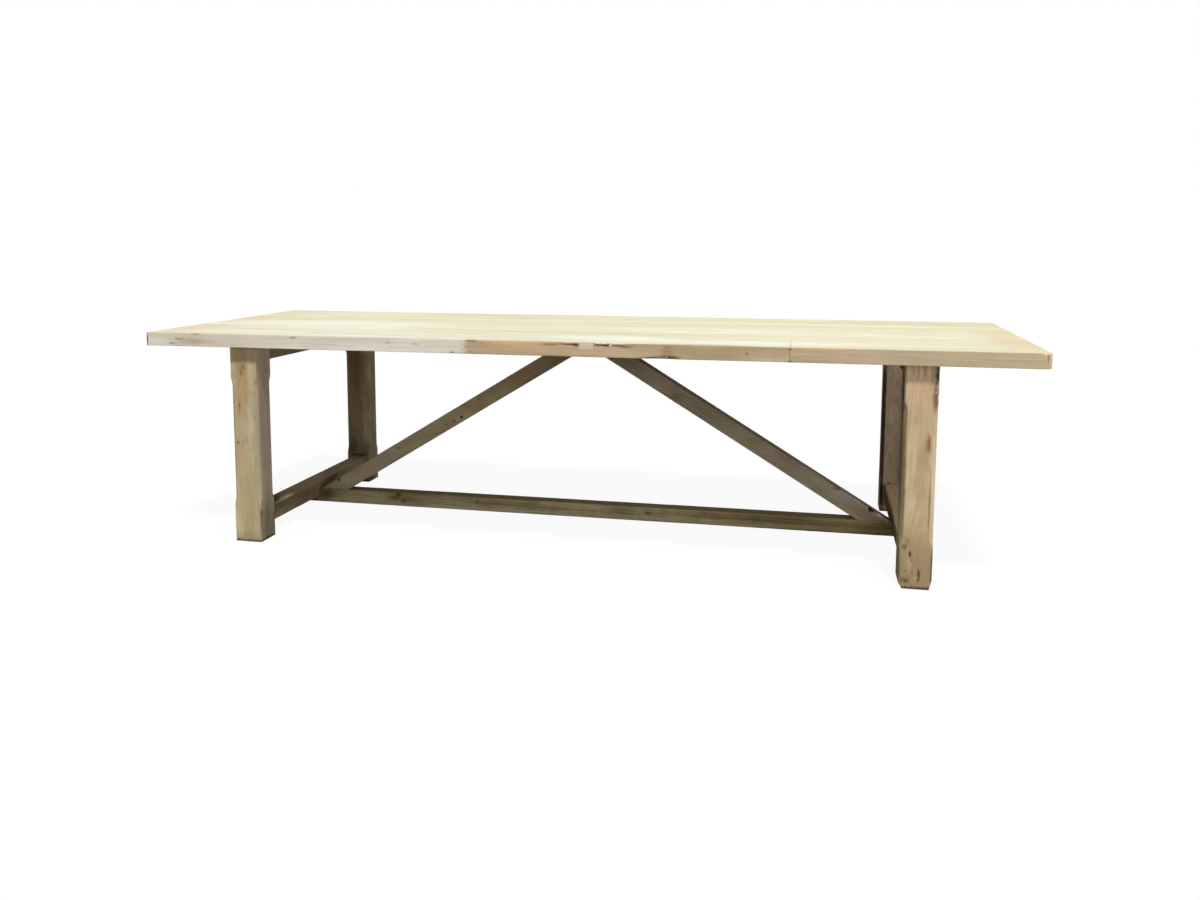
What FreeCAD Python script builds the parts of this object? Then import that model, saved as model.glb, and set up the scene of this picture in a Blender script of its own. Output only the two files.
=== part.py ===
# Long refectory table: plank top, four chamfered posts, cross rails, stretcher and two slanted braces.
# Frame: +X along the table, +Y away from its front, +Z up, origin on the floor under the middle of the top.
import FreeCAD, Part
import os

# Driving sizes in millimetres
SIZES = {
    # tabletop
    "top_length": 3000,
    "top_width": 1100,
    "top_thick": 47,
    "top_height": 750,
    "butt_from_right": 755,
    # loose tongues between the planks
    "tongue_width": 30,
    "tongue_thick": 10,
    "tongue_end_inset": 60,
    # dowels across the butt joint of the front plank
    "dowel_diameter": 12,
    "dowel_length": 80,
    "dowel_spacing": 90,
    # posts
    "leg_side": 100,
    "leg_end_inset": 310,
    "leg_edge_inset": 28,
    "chamfer_setback": 11,
    "chamfer_stop": 29,
    "chamfer_from_floor": 132,
    "chamfer_from_top": 106,
    # cross rails and their tenons
    "rail_width": 70,
    "top_rail_height": 57,
    "lower_rail_height": 60,
    "lower_rail_bottom": 50,
    "tenon_thick": 28,
    "tenon_length": 64,
    "tenon_shoulder": 10,
    # stretcher and its laps under the lower rails
    "stretcher_width": 62,
    "stretcher_height": 53,
    "stretcher_bottom": 27,
    "lap_length": 60,
    # braces
    "brace_depth": 59,
    "brace_nose": 23,
    "brace_tip_gap": 9,
    # pegs
    "peg_diameter": 12,
    "peg_blind": 18,
    # screws
    "screw_diameter": 5,
    "screw_point": 7,
    "screw_head_diameter": 11,
    "screw_head_height": 3.5,
    "screw_bite": 28,
    "rail_counterbore": 16,
    "end_screw_inset": 14,
    "brace_screw_seat": 20,
    "brace_screw_gauge": 32,
    "foot_screw_from_tip": 70,
    "head_screw_from_middle": 34,
    # fits
    "wood_clearance": 0.2,
    "pin_clearance": 0.1,
    "cut_overrun": 5,
}

# Plank widths from front to back, as shares of the width of the top
PLANK_SHARES = (0.185, 0.16, 0.20, 0.155, 0.11, 0.19)

doc = FreeCAD.newDocument("refectory_table")
sheet = doc.addObject("Spreadsheet::Sheet", "Sizes")
for row, (alias, value) in enumerate(SIZES.items(), start=1):
    sheet.set(f"A{row}", alias)
    sheet.set(f"B{row}", str(value))
    sheet.setAlias(f"B{row}", alias)
doc.recompute()

# Places worked out from the sizes, as expressions
UNDERSIDE = "(Sizes.top_height - Sizes.top_thick)"
TOP_MIDDLE = "(Sizes.top_height - Sizes.top_thick / 2)"
BUTT_X = "(Sizes.top_length / 2 - Sizes.butt_from_right)"
LEG_X = "(Sizes.top_length / 2 - Sizes.leg_end_inset - Sizes.leg_side / 2)"
LEG_Y = "(Sizes.top_width / 2 - Sizes.leg_edge_inset - Sizes.leg_side / 2)"
LEG_OUTER_X = f"({LEG_X} + Sizes.leg_side / 2)"
LEG_INNER_Y = f"({LEG_Y} - Sizes.leg_side / 2)"
RAIL_INNER_X = f"({LEG_X} - Sizes.rail_width / 2)"
TOP_RAIL_Z = f"({UNDERSIDE} - Sizes.top_rail_height / 2)"
LOWER_RAIL_Z = "(Sizes.lower_rail_bottom + Sizes.lower_rail_height / 2)"
STRETCHER_TOP = "(Sizes.stretcher_bottom + Sizes.stretcher_height)"

ALONG = FreeCAD.Vector(1, 0, 0)
ACROSS = FreeCAD.Vector(0, 1, 0)
UP = FreeCAD.Vector(0, 0, 1)
SIGNS = (-1, 1)

nodes = []


def node(feature, name):
    """Name a finished sub-part and put it on the list to write."""
    feature.Label = name
    nodes.append(feature)


def place(feature, position):
    """Bind the position of a feature to three expressions."""
    for axis, expression in zip("xyz", position):
        feature.setExpression("Placement.Base." + axis, expression)


def block(size, centre):
    """A square-edged block, from the expressions of its three sizes and of its centre."""
    feature = doc.addObject("Part::Box", "block")
    for side, expression in zip(("Length", "Width", "Height"), size):
        feature.setExpression(side, expression)
    place(feature, [f"{middle} - {side} / 2" for middle, side in zip(centre, size)])
    return feature


def round_bar(first, last, length, start, direction):
    """A round bar that goes from its first diameter to its last along a direction."""
    if first == last:
        feature = doc.addObject("Part::Cylinder", "pin")
        feature.setExpression("Radius", f"{first} / 2")
    else:
        feature = doc.addObject("Part::Cone", "taper")
        feature.setExpression("Radius1", f"{first} / 2")
        feature.setExpression("Radius2", f"{last} / 2")
    feature.setExpression("Height", length)
    feature.Placement.Rotation = FreeCAD.Rotation(UP, direction)
    place(feature, start)
    return feature


def joined(features):
    """One piece from several that touch, or one cutter from several."""
    fuse = doc.addObject("Part::MultiFuse", "joined")
    fuse.Shapes = features
    return fuse


def group(features):
    """Several separate solids in one sub-part."""
    compound = doc.addObject("Part::Compound", "group")
    compound.Links = features
    return compound


def cut(base, cutters):
    """A piece with its mortises, grooves and holes taken out."""
    feature = doc.addObject("Part::Cut", "cut")
    feature.Base = base
    feature.Tool = joined(cutters)
    return feature


def mirrored(feature, normal):
    """The same piece on the other side of the middle of the table."""
    mirror = doc.addObject("Part::Mirroring", "mirrored")
    mirror.Source = feature
    mirror.Normal = normal
    return mirror


def both_ends(features):
    """Pieces of the right end, with their mirrored copies at the left end."""
    return features + [mirrored(feature, ALONG) for feature in features]


def eased(size, clearance):
    """A size with its clearance on both sides."""
    return f"({size} + 2 * {clearance})"


def eased_block(size, centre):
    """The mortise or groove for a block, with clearance all round."""
    return block([eased(side, "Sizes.wood_clearance") for side in size], centre)


# Pegs and screws
def peg(length, start, direction):
    """A wooden peg, its outer end level with the face that it is driven into."""
    return round_bar("Sizes.peg_diameter", "Sizes.peg_diameter", length, start, direction)


def peg_hole(length, start, direction):
    """The blind hole for a peg."""
    diameter = eased("Sizes.peg_diameter", "Sizes.pin_clearance")
    return round_bar(diameter, diameter, f"({length} + Sizes.pin_clearance)", start, direction)


def screw(length, seat, way):
    """A vertical screw whose head stands on its seat and whose point goes up (1) or down (-1)."""
    x, y, z = seat
    shank = f"({length} - Sizes.screw_point)"
    head_top = "(Sizes.screw_head_diameter - Sizes.screw_diameter / 2)"
    point_end = "(Sizes.screw_diameter / 4)"
    point_start = (x, y, f"{z} + {way} * {shank}")
    return joined([
        round_bar("Sizes.screw_head_diameter", head_top, "Sizes.screw_head_height", seat, UP * -way),
        round_bar("Sizes.screw_diameter", "Sizes.screw_diameter", shank, seat, UP * way),
        round_bar("Sizes.screw_diameter", point_end, "Sizes.screw_point", point_start, UP * way),
    ])


def screw_holes(length, seat, way, pocket_depth):
    """The hole for a screw and the pocket in which its head stands."""
    shank = eased("Sizes.screw_diameter", "Sizes.pin_clearance")
    pocket = eased("Sizes.screw_head_diameter", "Sizes.wood_clearance")
    return [
        round_bar(shank, shank, f"({length} + Sizes.pin_clearance)", seat, UP * way),
        round_bar(pocket, pocket, pocket_depth, seat, UP * -way),
    ]


# Planks: their widths, middle lines and seams, from the front edge to the back
def plank_line(number, part_share):
    """The line at a share of a plank's own width, across the top from its middle."""
    before_share = sum(PLANK_SHARES[:number])
    line_share = round(before_share + part_share * PLANK_SHARES[number], 6)
    return f"(Sizes.top_width * ({line_share} - 1 / 2))"


plank_count = len(PLANK_SHARES)
plank_middles = [plank_line(number, 0.5) for number in range(plank_count)]
seams = [plank_line(number, 0) for number in range(1, plank_count)]

# Loose tongues in stopped grooves, half in each plank
tongue_length = "(Sizes.top_length - 2 * Sizes.tongue_end_inset)"
tongue_size = (tongue_length, "Sizes.tongue_width", "Sizes.tongue_thick")
grooves = []
for number, seam in enumerate(seams, start=1):
    tongue_centre = ("0", seam, TOP_MIDDLE)
    node(block(tongue_size, tongue_centre), f"top_tongue_{number}")
    grooves.append(eased_block(tongue_size, tongue_centre))

# Dowels across the butt joint of the front plank
dowels = []
dowel_holes = []
hole_diameter = eased("Sizes.dowel_diameter", "Sizes.pin_clearance")
hole_length = eased("Sizes.dowel_length", "Sizes.pin_clearance")
for sign in SIGNS:
    dowel_y = f"({plank_middles[0]} + {sign} * Sizes.dowel_spacing / 2)"
    dowel_start = (f"{BUTT_X} - Sizes.dowel_length / 2", dowel_y, TOP_MIDDLE)
    hole_start = (f"{BUTT_X} - {hole_length} / 2", dowel_y, TOP_MIDDLE)
    diameter = "Sizes.dowel_diameter"
    dowels.append(round_bar(diameter, diameter, "Sizes.dowel_length", dowel_start, ALONG))
    dowel_holes.append(round_bar(hole_diameter, hole_diameter, hole_length, hole_start, ALONG))
node(group(dowels), "butt_joint_dowels")

# Screws up through the upper rails, one into each plank, the outer ones beside the posts
rail_screw_length = "(Sizes.top_rail_height - Sizes.rail_counterbore + Sizes.screw_bite)"
rail_pocket = "(Sizes.rail_counterbore + Sizes.cut_overrun)"
rail_screws = []
rail_screw_holes = []
outer_screw_y = f"({LEG_INNER_Y} - Sizes.end_screw_inset)"
for screw_y in [f"-1 * {outer_screw_y}"] + plank_middles[1:-1] + [outer_screw_y]:
    seat = (LEG_X, screw_y, f"({UNDERSIDE} - Sizes.top_rail_height + Sizes.rail_counterbore)")
    rail_screws.append(screw(rail_screw_length, seat, 1))
    rail_screw_holes += screw_holes(rail_screw_length, seat, 1, rail_pocket)
node(group(both_ends(rail_screws)), "top_screws")

# Screws through the foot of each brace into the stretcher, and through its head into the top
brace_foot_x = f"({RAIL_INNER_X} - Sizes.brace_tip_gap)"
brace_screw_length = "(Sizes.brace_screw_seat + Sizes.screw_bite)"
brace_pocket = "(Sizes.brace_depth + Sizes.cut_overrun)"
foot_screws = []
foot_screw_holes = []
head_screws = []
head_screw_holes = []
for sign in SIGNS:
    screw_y = f"{sign} * Sizes.brace_screw_gauge / 2"
    foot_seat = (
        f"({brace_foot_x} - Sizes.foot_screw_from_tip)",
        screw_y,
        f"({STRETCHER_TOP} + Sizes.brace_screw_seat)",
    )
    head_seat = ("Sizes.head_screw_from_middle", screw_y, f"({UNDERSIDE} - Sizes.brace_screw_seat)")
    foot_screws.append(screw(brace_screw_length, foot_seat, -1))
    foot_screw_holes += screw_holes(brace_screw_length, foot_seat, -1, brace_pocket)
    head_screws.append(screw(brace_screw_length, head_seat, 1))
    head_screw_holes += screw_holes(brace_screw_length, head_seat, 1, brace_pocket)
node(group(both_ends(foot_screws)), "brace_foot_screws")
node(group(both_ends(head_screws)), "brace_head_screws")

# Planks of the top: the front one is two lengths butted end to end
plank_cutters = grooves + dowel_holes + both_ends(rail_screw_holes + head_screw_holes)
for number in range(plank_count):
    plank_width = f"(Sizes.top_width * {PLANK_SHARES[number]})"
    if number == 0:
        left_length = "(Sizes.top_length - Sizes.butt_from_right)"
        left_x = f"({BUTT_X} - {left_length} / 2)"
        right_x = f"({BUTT_X} + Sizes.butt_from_right / 2)"
        lengths = {"_left": (left_length, left_x), "_right": ("Sizes.butt_from_right", right_x)}
    else:
        lengths = {"": ("Sizes.top_length", "0")}
    for ending, (length, middle) in lengths.items():
        plank_size = (length, plank_width, "Sizes.top_thick")
        plank = block(plank_size, (middle, plank_middles[number], TOP_MIDDLE))
        node(cut(plank, plank_cutters), f"top_board_{number + 1}{ending}")

# Cross rails of the right end: a bar with a thinner tenon bar through it
rail_length = f"(2 * {LEG_INNER_Y})"
tenon_span = f"(2 * ({LEG_INNER_Y} + Sizes.tenon_length))"
rails = {}
mortises = []
for name, height, rail_z in (
    ("top_rail", "Sizes.top_rail_height", TOP_RAIL_Z),
    ("lower_rail", "Sizes.lower_rail_height", LOWER_RAIL_Z),
):
    rail_centre = (LEG_X, "0", rail_z)
    tenon_size = ("Sizes.tenon_thick", tenon_span, f"({height} - 2 * Sizes.tenon_shoulder)")
    bar = block(("Sizes.rail_width", rail_length, height), rail_centre)
    rails[name] = joined([bar, block(tenon_size, rail_centre)])
    mortises.append(eased_block(tenon_size, rail_centre))

# Pegs through the tenons, driven from the outer faces of the posts
peg_length = "(Sizes.leg_side - Sizes.peg_blind)"
leg_peg_holes = {}
for name, rail_z in (("top_rail", TOP_RAIL_Z), ("lower_rail", LOWER_RAIL_Z)):
    pegs = []
    leg_peg_holes[name] = []
    for sign in SIGNS:
        peg_y = f"{sign} * ({LEG_INNER_Y} + Sizes.tenon_length / 2)"
        peg_start = (LEG_OUTER_X, peg_y, rail_z)
        pegs.append(peg(peg_length, peg_start, ALONG * -1))
        leg_peg_holes[name].append(peg_hole(peg_length, peg_start, ALONG * -1))
    node(group(both_ends(pegs)), f"{name}_pegs")

# Stretcher: at each end its lower part runs on as a lap under the rail, pegged from below
lap_height = "(Sizes.lower_rail_bottom - Sizes.stretcher_bottom)"
lap_span = f"(2 * ({RAIL_INNER_X} + Sizes.lap_length))"
lap_size = (lap_span, "Sizes.stretcher_width", lap_height)
lap_centre = ("0", "0", f"(Sizes.stretcher_bottom + {lap_height} / 2)")
stretcher_size = (f"(2 * {RAIL_INNER_X})", "Sizes.stretcher_width", "Sizes.stretcher_height")
stretcher_centre = ("0", "0", "(Sizes.stretcher_bottom + Sizes.stretcher_height / 2)")
stretcher_bar = joined([block(stretcher_size, stretcher_centre), block(lap_size, lap_centre)])

lap_peg_length = f"({lap_height} + Sizes.lower_rail_height - Sizes.peg_blind)"
lap_peg_start = (f"({RAIL_INNER_X} + Sizes.lap_length / 2)", "0", "Sizes.stretcher_bottom")
lap_peg = peg(lap_peg_length, lap_peg_start, UP)
lap_peg_hole = peg_hole(lap_peg_length, lap_peg_start, UP)
node(group(both_ends([lap_peg])), "stretcher_pegs")
node(cut(stretcher_bar, both_ends(foot_screw_holes + [lap_peg_hole])), "stretcher")

top_rail = cut(rails["top_rail"], rail_screw_holes + leg_peg_holes["top_rail"])
lower_rail = cut(rails["lower_rail"], leg_peg_holes["lower_rail"] + [lap_peg_hole])
for name, rail in (("top_rail", top_rail), ("lower_rail", lower_rail)):
    node(rail, f"{name}_right")
    node(mirrored(rail, ALONG), f"{name}_left")

# Posts: stopped chamfers run out through sloped ends into the square head and foot
chamfer_depth = "(Sizes.chamfer_setback / sqrt(2))"
chamfer_low = "Sizes.chamfer_from_floor"
chamfer_high = f"({UNDERSIDE} - Sizes.chamfer_from_top)"


def chamfer_cutter(x_sign, y_sign):
    """The cutter for one edge of the back right post, facing outwards across the corner."""
    wedge = doc.addObject("Part::Wedge", "chamfer")
    wedge.setExpression("Ymin", "0")
    wedge.setExpression("Ymax", f"2 * {chamfer_depth}")
    for low, high in (("Xmin", "Xmax"), ("X2min", "X2max")):
        wedge.setExpression(low, f"-2 * {chamfer_depth}")
        wedge.setExpression(high, f"2 * {chamfer_depth}")
    wedge.setExpression("Zmin", f"{chamfer_low} + Sizes.chamfer_stop")
    wedge.setExpression("Zmax", f"{chamfer_high} - Sizes.chamfer_stop")
    wedge.setExpression("Z2min", f"{chamfer_low} - Sizes.chamfer_stop")
    wedge.setExpression("Z2max", f"{chamfer_high} + Sizes.chamfer_stop")
    wedge.Placement.Rotation = FreeCAD.Rotation(ACROSS, FreeCAD.Vector(x_sign, y_sign, 0))
    from_axis = "(Sizes.leg_side - Sizes.chamfer_setback) / 2"
    place(wedge, (f"{LEG_X} + {x_sign} * {from_axis}", f"{LEG_Y} + {y_sign} * {from_axis}", "0"))
    return wedge


post = block(("Sizes.leg_side", "Sizes.leg_side", UNDERSIDE), (LEG_X, LEG_Y, f"{UNDERSIDE} / 2"))
chamfers = [chamfer_cutter(x_sign, y_sign) for x_sign in SIGNS for y_sign in SIGNS]
post_holes = leg_peg_holes["top_rail"] + leg_peg_holes["lower_rail"]
back_right = cut(post, chamfers + mortises + post_holes)
front_right = mirrored(back_right, ACROSS)
for side, leg in (("back", back_right), ("front", front_right)):
    node(leg, f"leg_{side}_right")
    node(mirrored(leg, ALONG), f"leg_{side}_left")

# Braces: a slanted bar, cut level on the stretcher and under the top, and plumb where the two meet
nose_z = f"({UNDERSIDE} - Sizes.brace_nose)"
brace_rise = f"({nose_z} - {STRETCHER_TOP})"
brace_reach = f"hypot({brace_foot_x}; {brace_rise})"
brace_slope = f"(atan2({brace_rise}; {brace_foot_x}) + asin(Sizes.brace_depth / {brace_reach}))"
bar_start = "(2 * Sizes.brace_depth)"
slanted = doc.addObject("Part::Box", "slanted")
slanted.setExpression("Length", f"{brace_reach} + 2 * {bar_start}")
slanted.setExpression("Width", "Sizes.stretcher_width")
slanted.setExpression("Height", "Sizes.brace_depth")
slanted.Placement.Rotation = FreeCAD.Rotation(ACROSS, 90)
slanted.setExpression("Placement.Rotation.Angle", brace_slope)
place(slanted, (
    f"-{bar_start} * cos({brace_slope})",
    "-Sizes.stretcher_width / 2",
    f"{nose_z} + {bar_start} * sin({brace_slope})",
))
brace_height = f"({UNDERSIDE} - {STRETCHER_TOP})"
brace_space = block(
    (brace_foot_x, "Sizes.stretcher_width", brace_height),
    (f"{brace_foot_x} / 2", "0", f"({STRETCHER_TOP} + {brace_height} / 2)"),
)
brace_bar = doc.addObject("Part::Common", "brace")
brace_bar.Base = slanted
brace_bar.Tool = brace_space
brace = cut(brace_bar, foot_screw_holes + head_screw_holes)
node(brace, "brace_right")
node(mirrored(brace, ALONG), "brace_left")

# Every feature has to be sound before anything is written
doc.recompute()
for feature in doc.Objects:
    if "Invalid" in feature.State or "Error" in feature.State:
        raise RuntimeError(f"{feature.Name} failed: {feature.State}")
for feature in nodes:
    if feature.Shape.isNull() or not feature.Shape.isValid():
        raise RuntimeError(f"{feature.Label} has no sound shape")

os.makedirs("parts", exist_ok=True)
for feature in nodes:
    feature.Shape.exportStep(f"parts/{feature.Label}.step")
    print(feature.Label, len(feature.Shape.Solids), round(feature.Shape.Volume))
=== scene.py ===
"""Looks of a long refectory table in old wood.

A limed plank top stands on weathered, chamfered posts with pegged rails, a low stretcher and two
slanted braces.
"""
import math
from dataclasses import dataclass

import bmesh
import bpy
import numpy as np
from mathutils import Euler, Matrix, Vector


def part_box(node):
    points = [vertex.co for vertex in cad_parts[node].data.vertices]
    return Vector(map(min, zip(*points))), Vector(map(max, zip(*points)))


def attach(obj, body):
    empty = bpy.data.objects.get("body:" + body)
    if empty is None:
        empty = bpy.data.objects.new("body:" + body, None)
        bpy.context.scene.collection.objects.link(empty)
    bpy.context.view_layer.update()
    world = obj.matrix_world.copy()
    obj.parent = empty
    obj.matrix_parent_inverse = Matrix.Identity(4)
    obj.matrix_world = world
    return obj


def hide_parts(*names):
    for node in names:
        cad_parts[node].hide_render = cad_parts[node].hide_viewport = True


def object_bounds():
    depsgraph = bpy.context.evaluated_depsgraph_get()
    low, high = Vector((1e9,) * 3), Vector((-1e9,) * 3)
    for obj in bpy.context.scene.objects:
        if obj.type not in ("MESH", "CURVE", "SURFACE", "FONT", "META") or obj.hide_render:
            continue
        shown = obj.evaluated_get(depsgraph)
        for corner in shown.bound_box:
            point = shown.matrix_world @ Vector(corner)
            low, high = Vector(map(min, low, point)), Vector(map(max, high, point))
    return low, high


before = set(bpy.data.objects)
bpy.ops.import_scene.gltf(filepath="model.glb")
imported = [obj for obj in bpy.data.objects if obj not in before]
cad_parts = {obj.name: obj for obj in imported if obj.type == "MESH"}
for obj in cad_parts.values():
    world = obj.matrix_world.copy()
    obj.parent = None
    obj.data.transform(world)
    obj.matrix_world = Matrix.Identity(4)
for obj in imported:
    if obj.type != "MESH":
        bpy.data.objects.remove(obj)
cad_low, cad_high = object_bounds()

MM = 0.001
MIDDLE = (0.5, 0.5, 0.5)  # what a noise gives on average

# Ways that a timber's grain can run: turns that lay its own X axis along the table's X, Y or Z
ALONG_X = (0.0, 0.0, 0.0)
ALONG_Y = (0.0, 0.0, math.pi / 2)
ALONG_Z = (0.0, -math.pi / 2, 0.0)

# Kinds of node that come up most
MATH = "ShaderNodeMath"
VECTOR_MATH = "ShaderNodeVectorMath"
MAP_RANGE = "ShaderNodeMapRange"
MIX = "ShaderNodeMix"
SEPARATE = "ShaderNodeSeparateXYZ"
COMBINE = "ShaderNodeCombineXYZ"
NOISE = "ShaderNodeTexNoise"
PRINCIPLED = "ShaderNodeBsdfPrincipled"
TRANSFORM = "GeometryNodeTransform"


def add(tree, kind, inputs=None, **settings):
    """Add a node with its settings.

    Each input gets a value, or a link from a socket or from a node's first enabled output.
    """
    node = tree.nodes.new(kind)
    for name, value in settings.items():
        setattr(node, name, value)
    for key, value in (inputs or {}).items():
        if isinstance(value, bpy.types.Node):
            value = next(output for output in value.outputs if output.enabled)
        if isinstance(value, bpy.types.NodeSocket):
            tree.links.new(value, node.inputs[key])
        else:
            node.inputs[key].default_value = value
    return node


def linear(hex_colour):
    """An sRGB hex colour as linear red, green, blue and alpha."""
    channels = [int(hex_colour[start:start + 2], 16) / 255 for start in (0, 2, 4)]
    return [c / 12.92 if c <= 0.04045 else ((c + 0.055) / 1.055) ** 2.4 for c in channels] + [1.0]


def in_scene(name, data):
    """A new object with this data, linked into the scene."""
    thing = bpy.data.objects.new(name, data)
    bpy.context.scene.collection.objects.link(thing)
    return thing


# Timbers: their places and sizes, read from the frame
# The heart of the tree lay this far from a timber's middle, as shares of its width and depth
POST_HEART_SHARES = (0.1, 0.15)
PLANK_HEART_SHARES = (-0.5, -1.2)


@dataclass
class Timber:
    """One squared timber: its length, width and depth, its middle, and which way its grain runs."""
    name: str
    size: Vector
    centre: Vector
    turn: tuple
    seed: float

    def heart(self):
        """Where the heart of the tree was, from the timber's middle: inside a post, beside a plank."""
        if self.turn == ALONG_Z:
            wide, deep = POST_HEART_SHARES
            return Vector((0.0, self.size.y * wide, self.size.z * deep * math.sin(self.seed)))
        wide, deep = PLANK_HEART_SHARES
        wide -= math.sin(self.seed)
        deep -= math.cos(self.seed)
        return Vector((0.0, self.size.y * wide, self.size.z * deep))


def timber_in_box(node, turn, seed):
    """The timber that fills a CAD node's box."""
    low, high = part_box(node)
    spans = Euler(turn).to_matrix().transposed() @ (high - low)
    return Timber(node, Vector([abs(span) for span in spans]), (low + high) / 2, turn, seed)


FRONT_BOARDS = ["top_board_1_left", "top_board_1_right"]
BOARDS = FRONT_BOARDS + [f"top_board_{number}" for number in range(2, 7)]
LEGS = [f"leg_{side}_{end}" for side in ("front", "back") for end in ("left", "right")]
TOP_RAILS = ["top_rail_left", "top_rail_right"]
LOWER_RAILS = ["lower_rail_left", "lower_rail_right"]
BRACES = {"brace_right": 1, "brace_left": -1}  # and which way each goes from the middle

timbers = {}
for turn, nodes in ((ALONG_X, BOARDS + ["stretcher"]), (ALONG_Z, LEGS), (ALONG_Y, TOP_RAILS + LOWER_RAILS)):
    for node in nodes:
        timbers[node] = timber_in_box(node, turn, seed=1.0 + len(timbers))

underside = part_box("leg_front_left")[1].z
leg_inner_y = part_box("leg_back_right")[0].y
rail_inner_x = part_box("lower_rail_right")[0].x
stretcher_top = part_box("stretcher")[1].z

# Braces: slanted bars from a nose under the middle of the top down to a tip on the stretcher
BRACE_DEPTH = 59 * MM
BRACE_NOSE = 23 * MM
BRACE_SPARE = 4 * BRACE_DEPTH  # length that is sawn off again
brace_tip_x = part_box("brace_right")[1].x
brace_rise = underside - BRACE_NOSE - stretcher_top
brace_reach = math.hypot(brace_tip_x, brace_rise)
brace_slope = math.atan2(brace_rise, brace_tip_x) + math.asin(BRACE_DEPTH / brace_reach)
brace_along = Vector((math.cos(brace_slope), 0, -math.sin(brace_slope)))
brace_upward = Vector((math.sin(brace_slope), 0, math.cos(brace_slope)))
for node, way in BRACES.items():
    nose = Vector((0, 0, underside - BRACE_NOSE))
    middle = nose + brace_along * brace_reach / 2 + brace_upward * BRACE_DEPTH / 2
    middle.x *= way
    bar = Vector((brace_reach + BRACE_SPARE, 2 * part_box("brace_right")[1].y, BRACE_DEPTH))
    timbers[node] = Timber(node, bar, middle, (0.0, way * brace_slope, 0.0), seed=1.0 + len(timbers))


# Worn timber, grown by Geometry Nodes
TIMBER_INPUTS = {
    "Length": "Float", "Width": "Float", "Depth": "Float", "Rows": "Int", "Columns": "Int", "Layers": "Int",
    "Ease": "Float", "Wear": "Float", "Waver": "Float", "Seed": "Float",
    "Chamfer": "Float", "Chamfer Start": "Float", "Chamfer End": "Float", "Chamfer Run": "Float",
    "Shoulder": "Float", "Tenon Width": "Float", "Tenon Depth": "Float", "Tenon Lift": "Float",
    "Centre": "Vector", "Turn": "Vector", "Material": "Material",
}
ROW_CROWDING = (1.25, 2.0, 2.0)  # how strongly rows, columns and layers draw together towards the arrises
WEAR_PER_METRE = (9.0, 30.0, 30.0)  # how often the wear of an arris changes, along and across the grain
WAVER_PER_METRE = (2.2, 7.0, 7.0)
WEAR_DETAIL = 3.0
WAVER_DETAIL = 2.0
WEAR_CHANCE = {"From Min": 0.45, "From Max": 0.75}  # the noise at which wear starts, and where it is worst
# How far an unworn point stood from the timber's core, in radii of its rounding: worn wood starts to show
# at the first, and shows fully at the second
WORN_STRETCH = {"From Min": 1.0, "From Max": 1.2}


def tree_with(name, inputs):
    """A geometry tree with named inputs and one geometry output, and its input sockets."""
    tree = bpy.data.node_groups.new(name, "GeometryNodeTree")
    for label, kind in inputs.items():
        tree.interface.new_socket(label, in_out="INPUT", socket_type="NodeSocket" + kind)
    tree.interface.new_socket("Result", in_out="OUTPUT", socket_type="NodeSocketGeometry")
    return tree, add(tree, "NodeGroupInput").outputs


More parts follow.
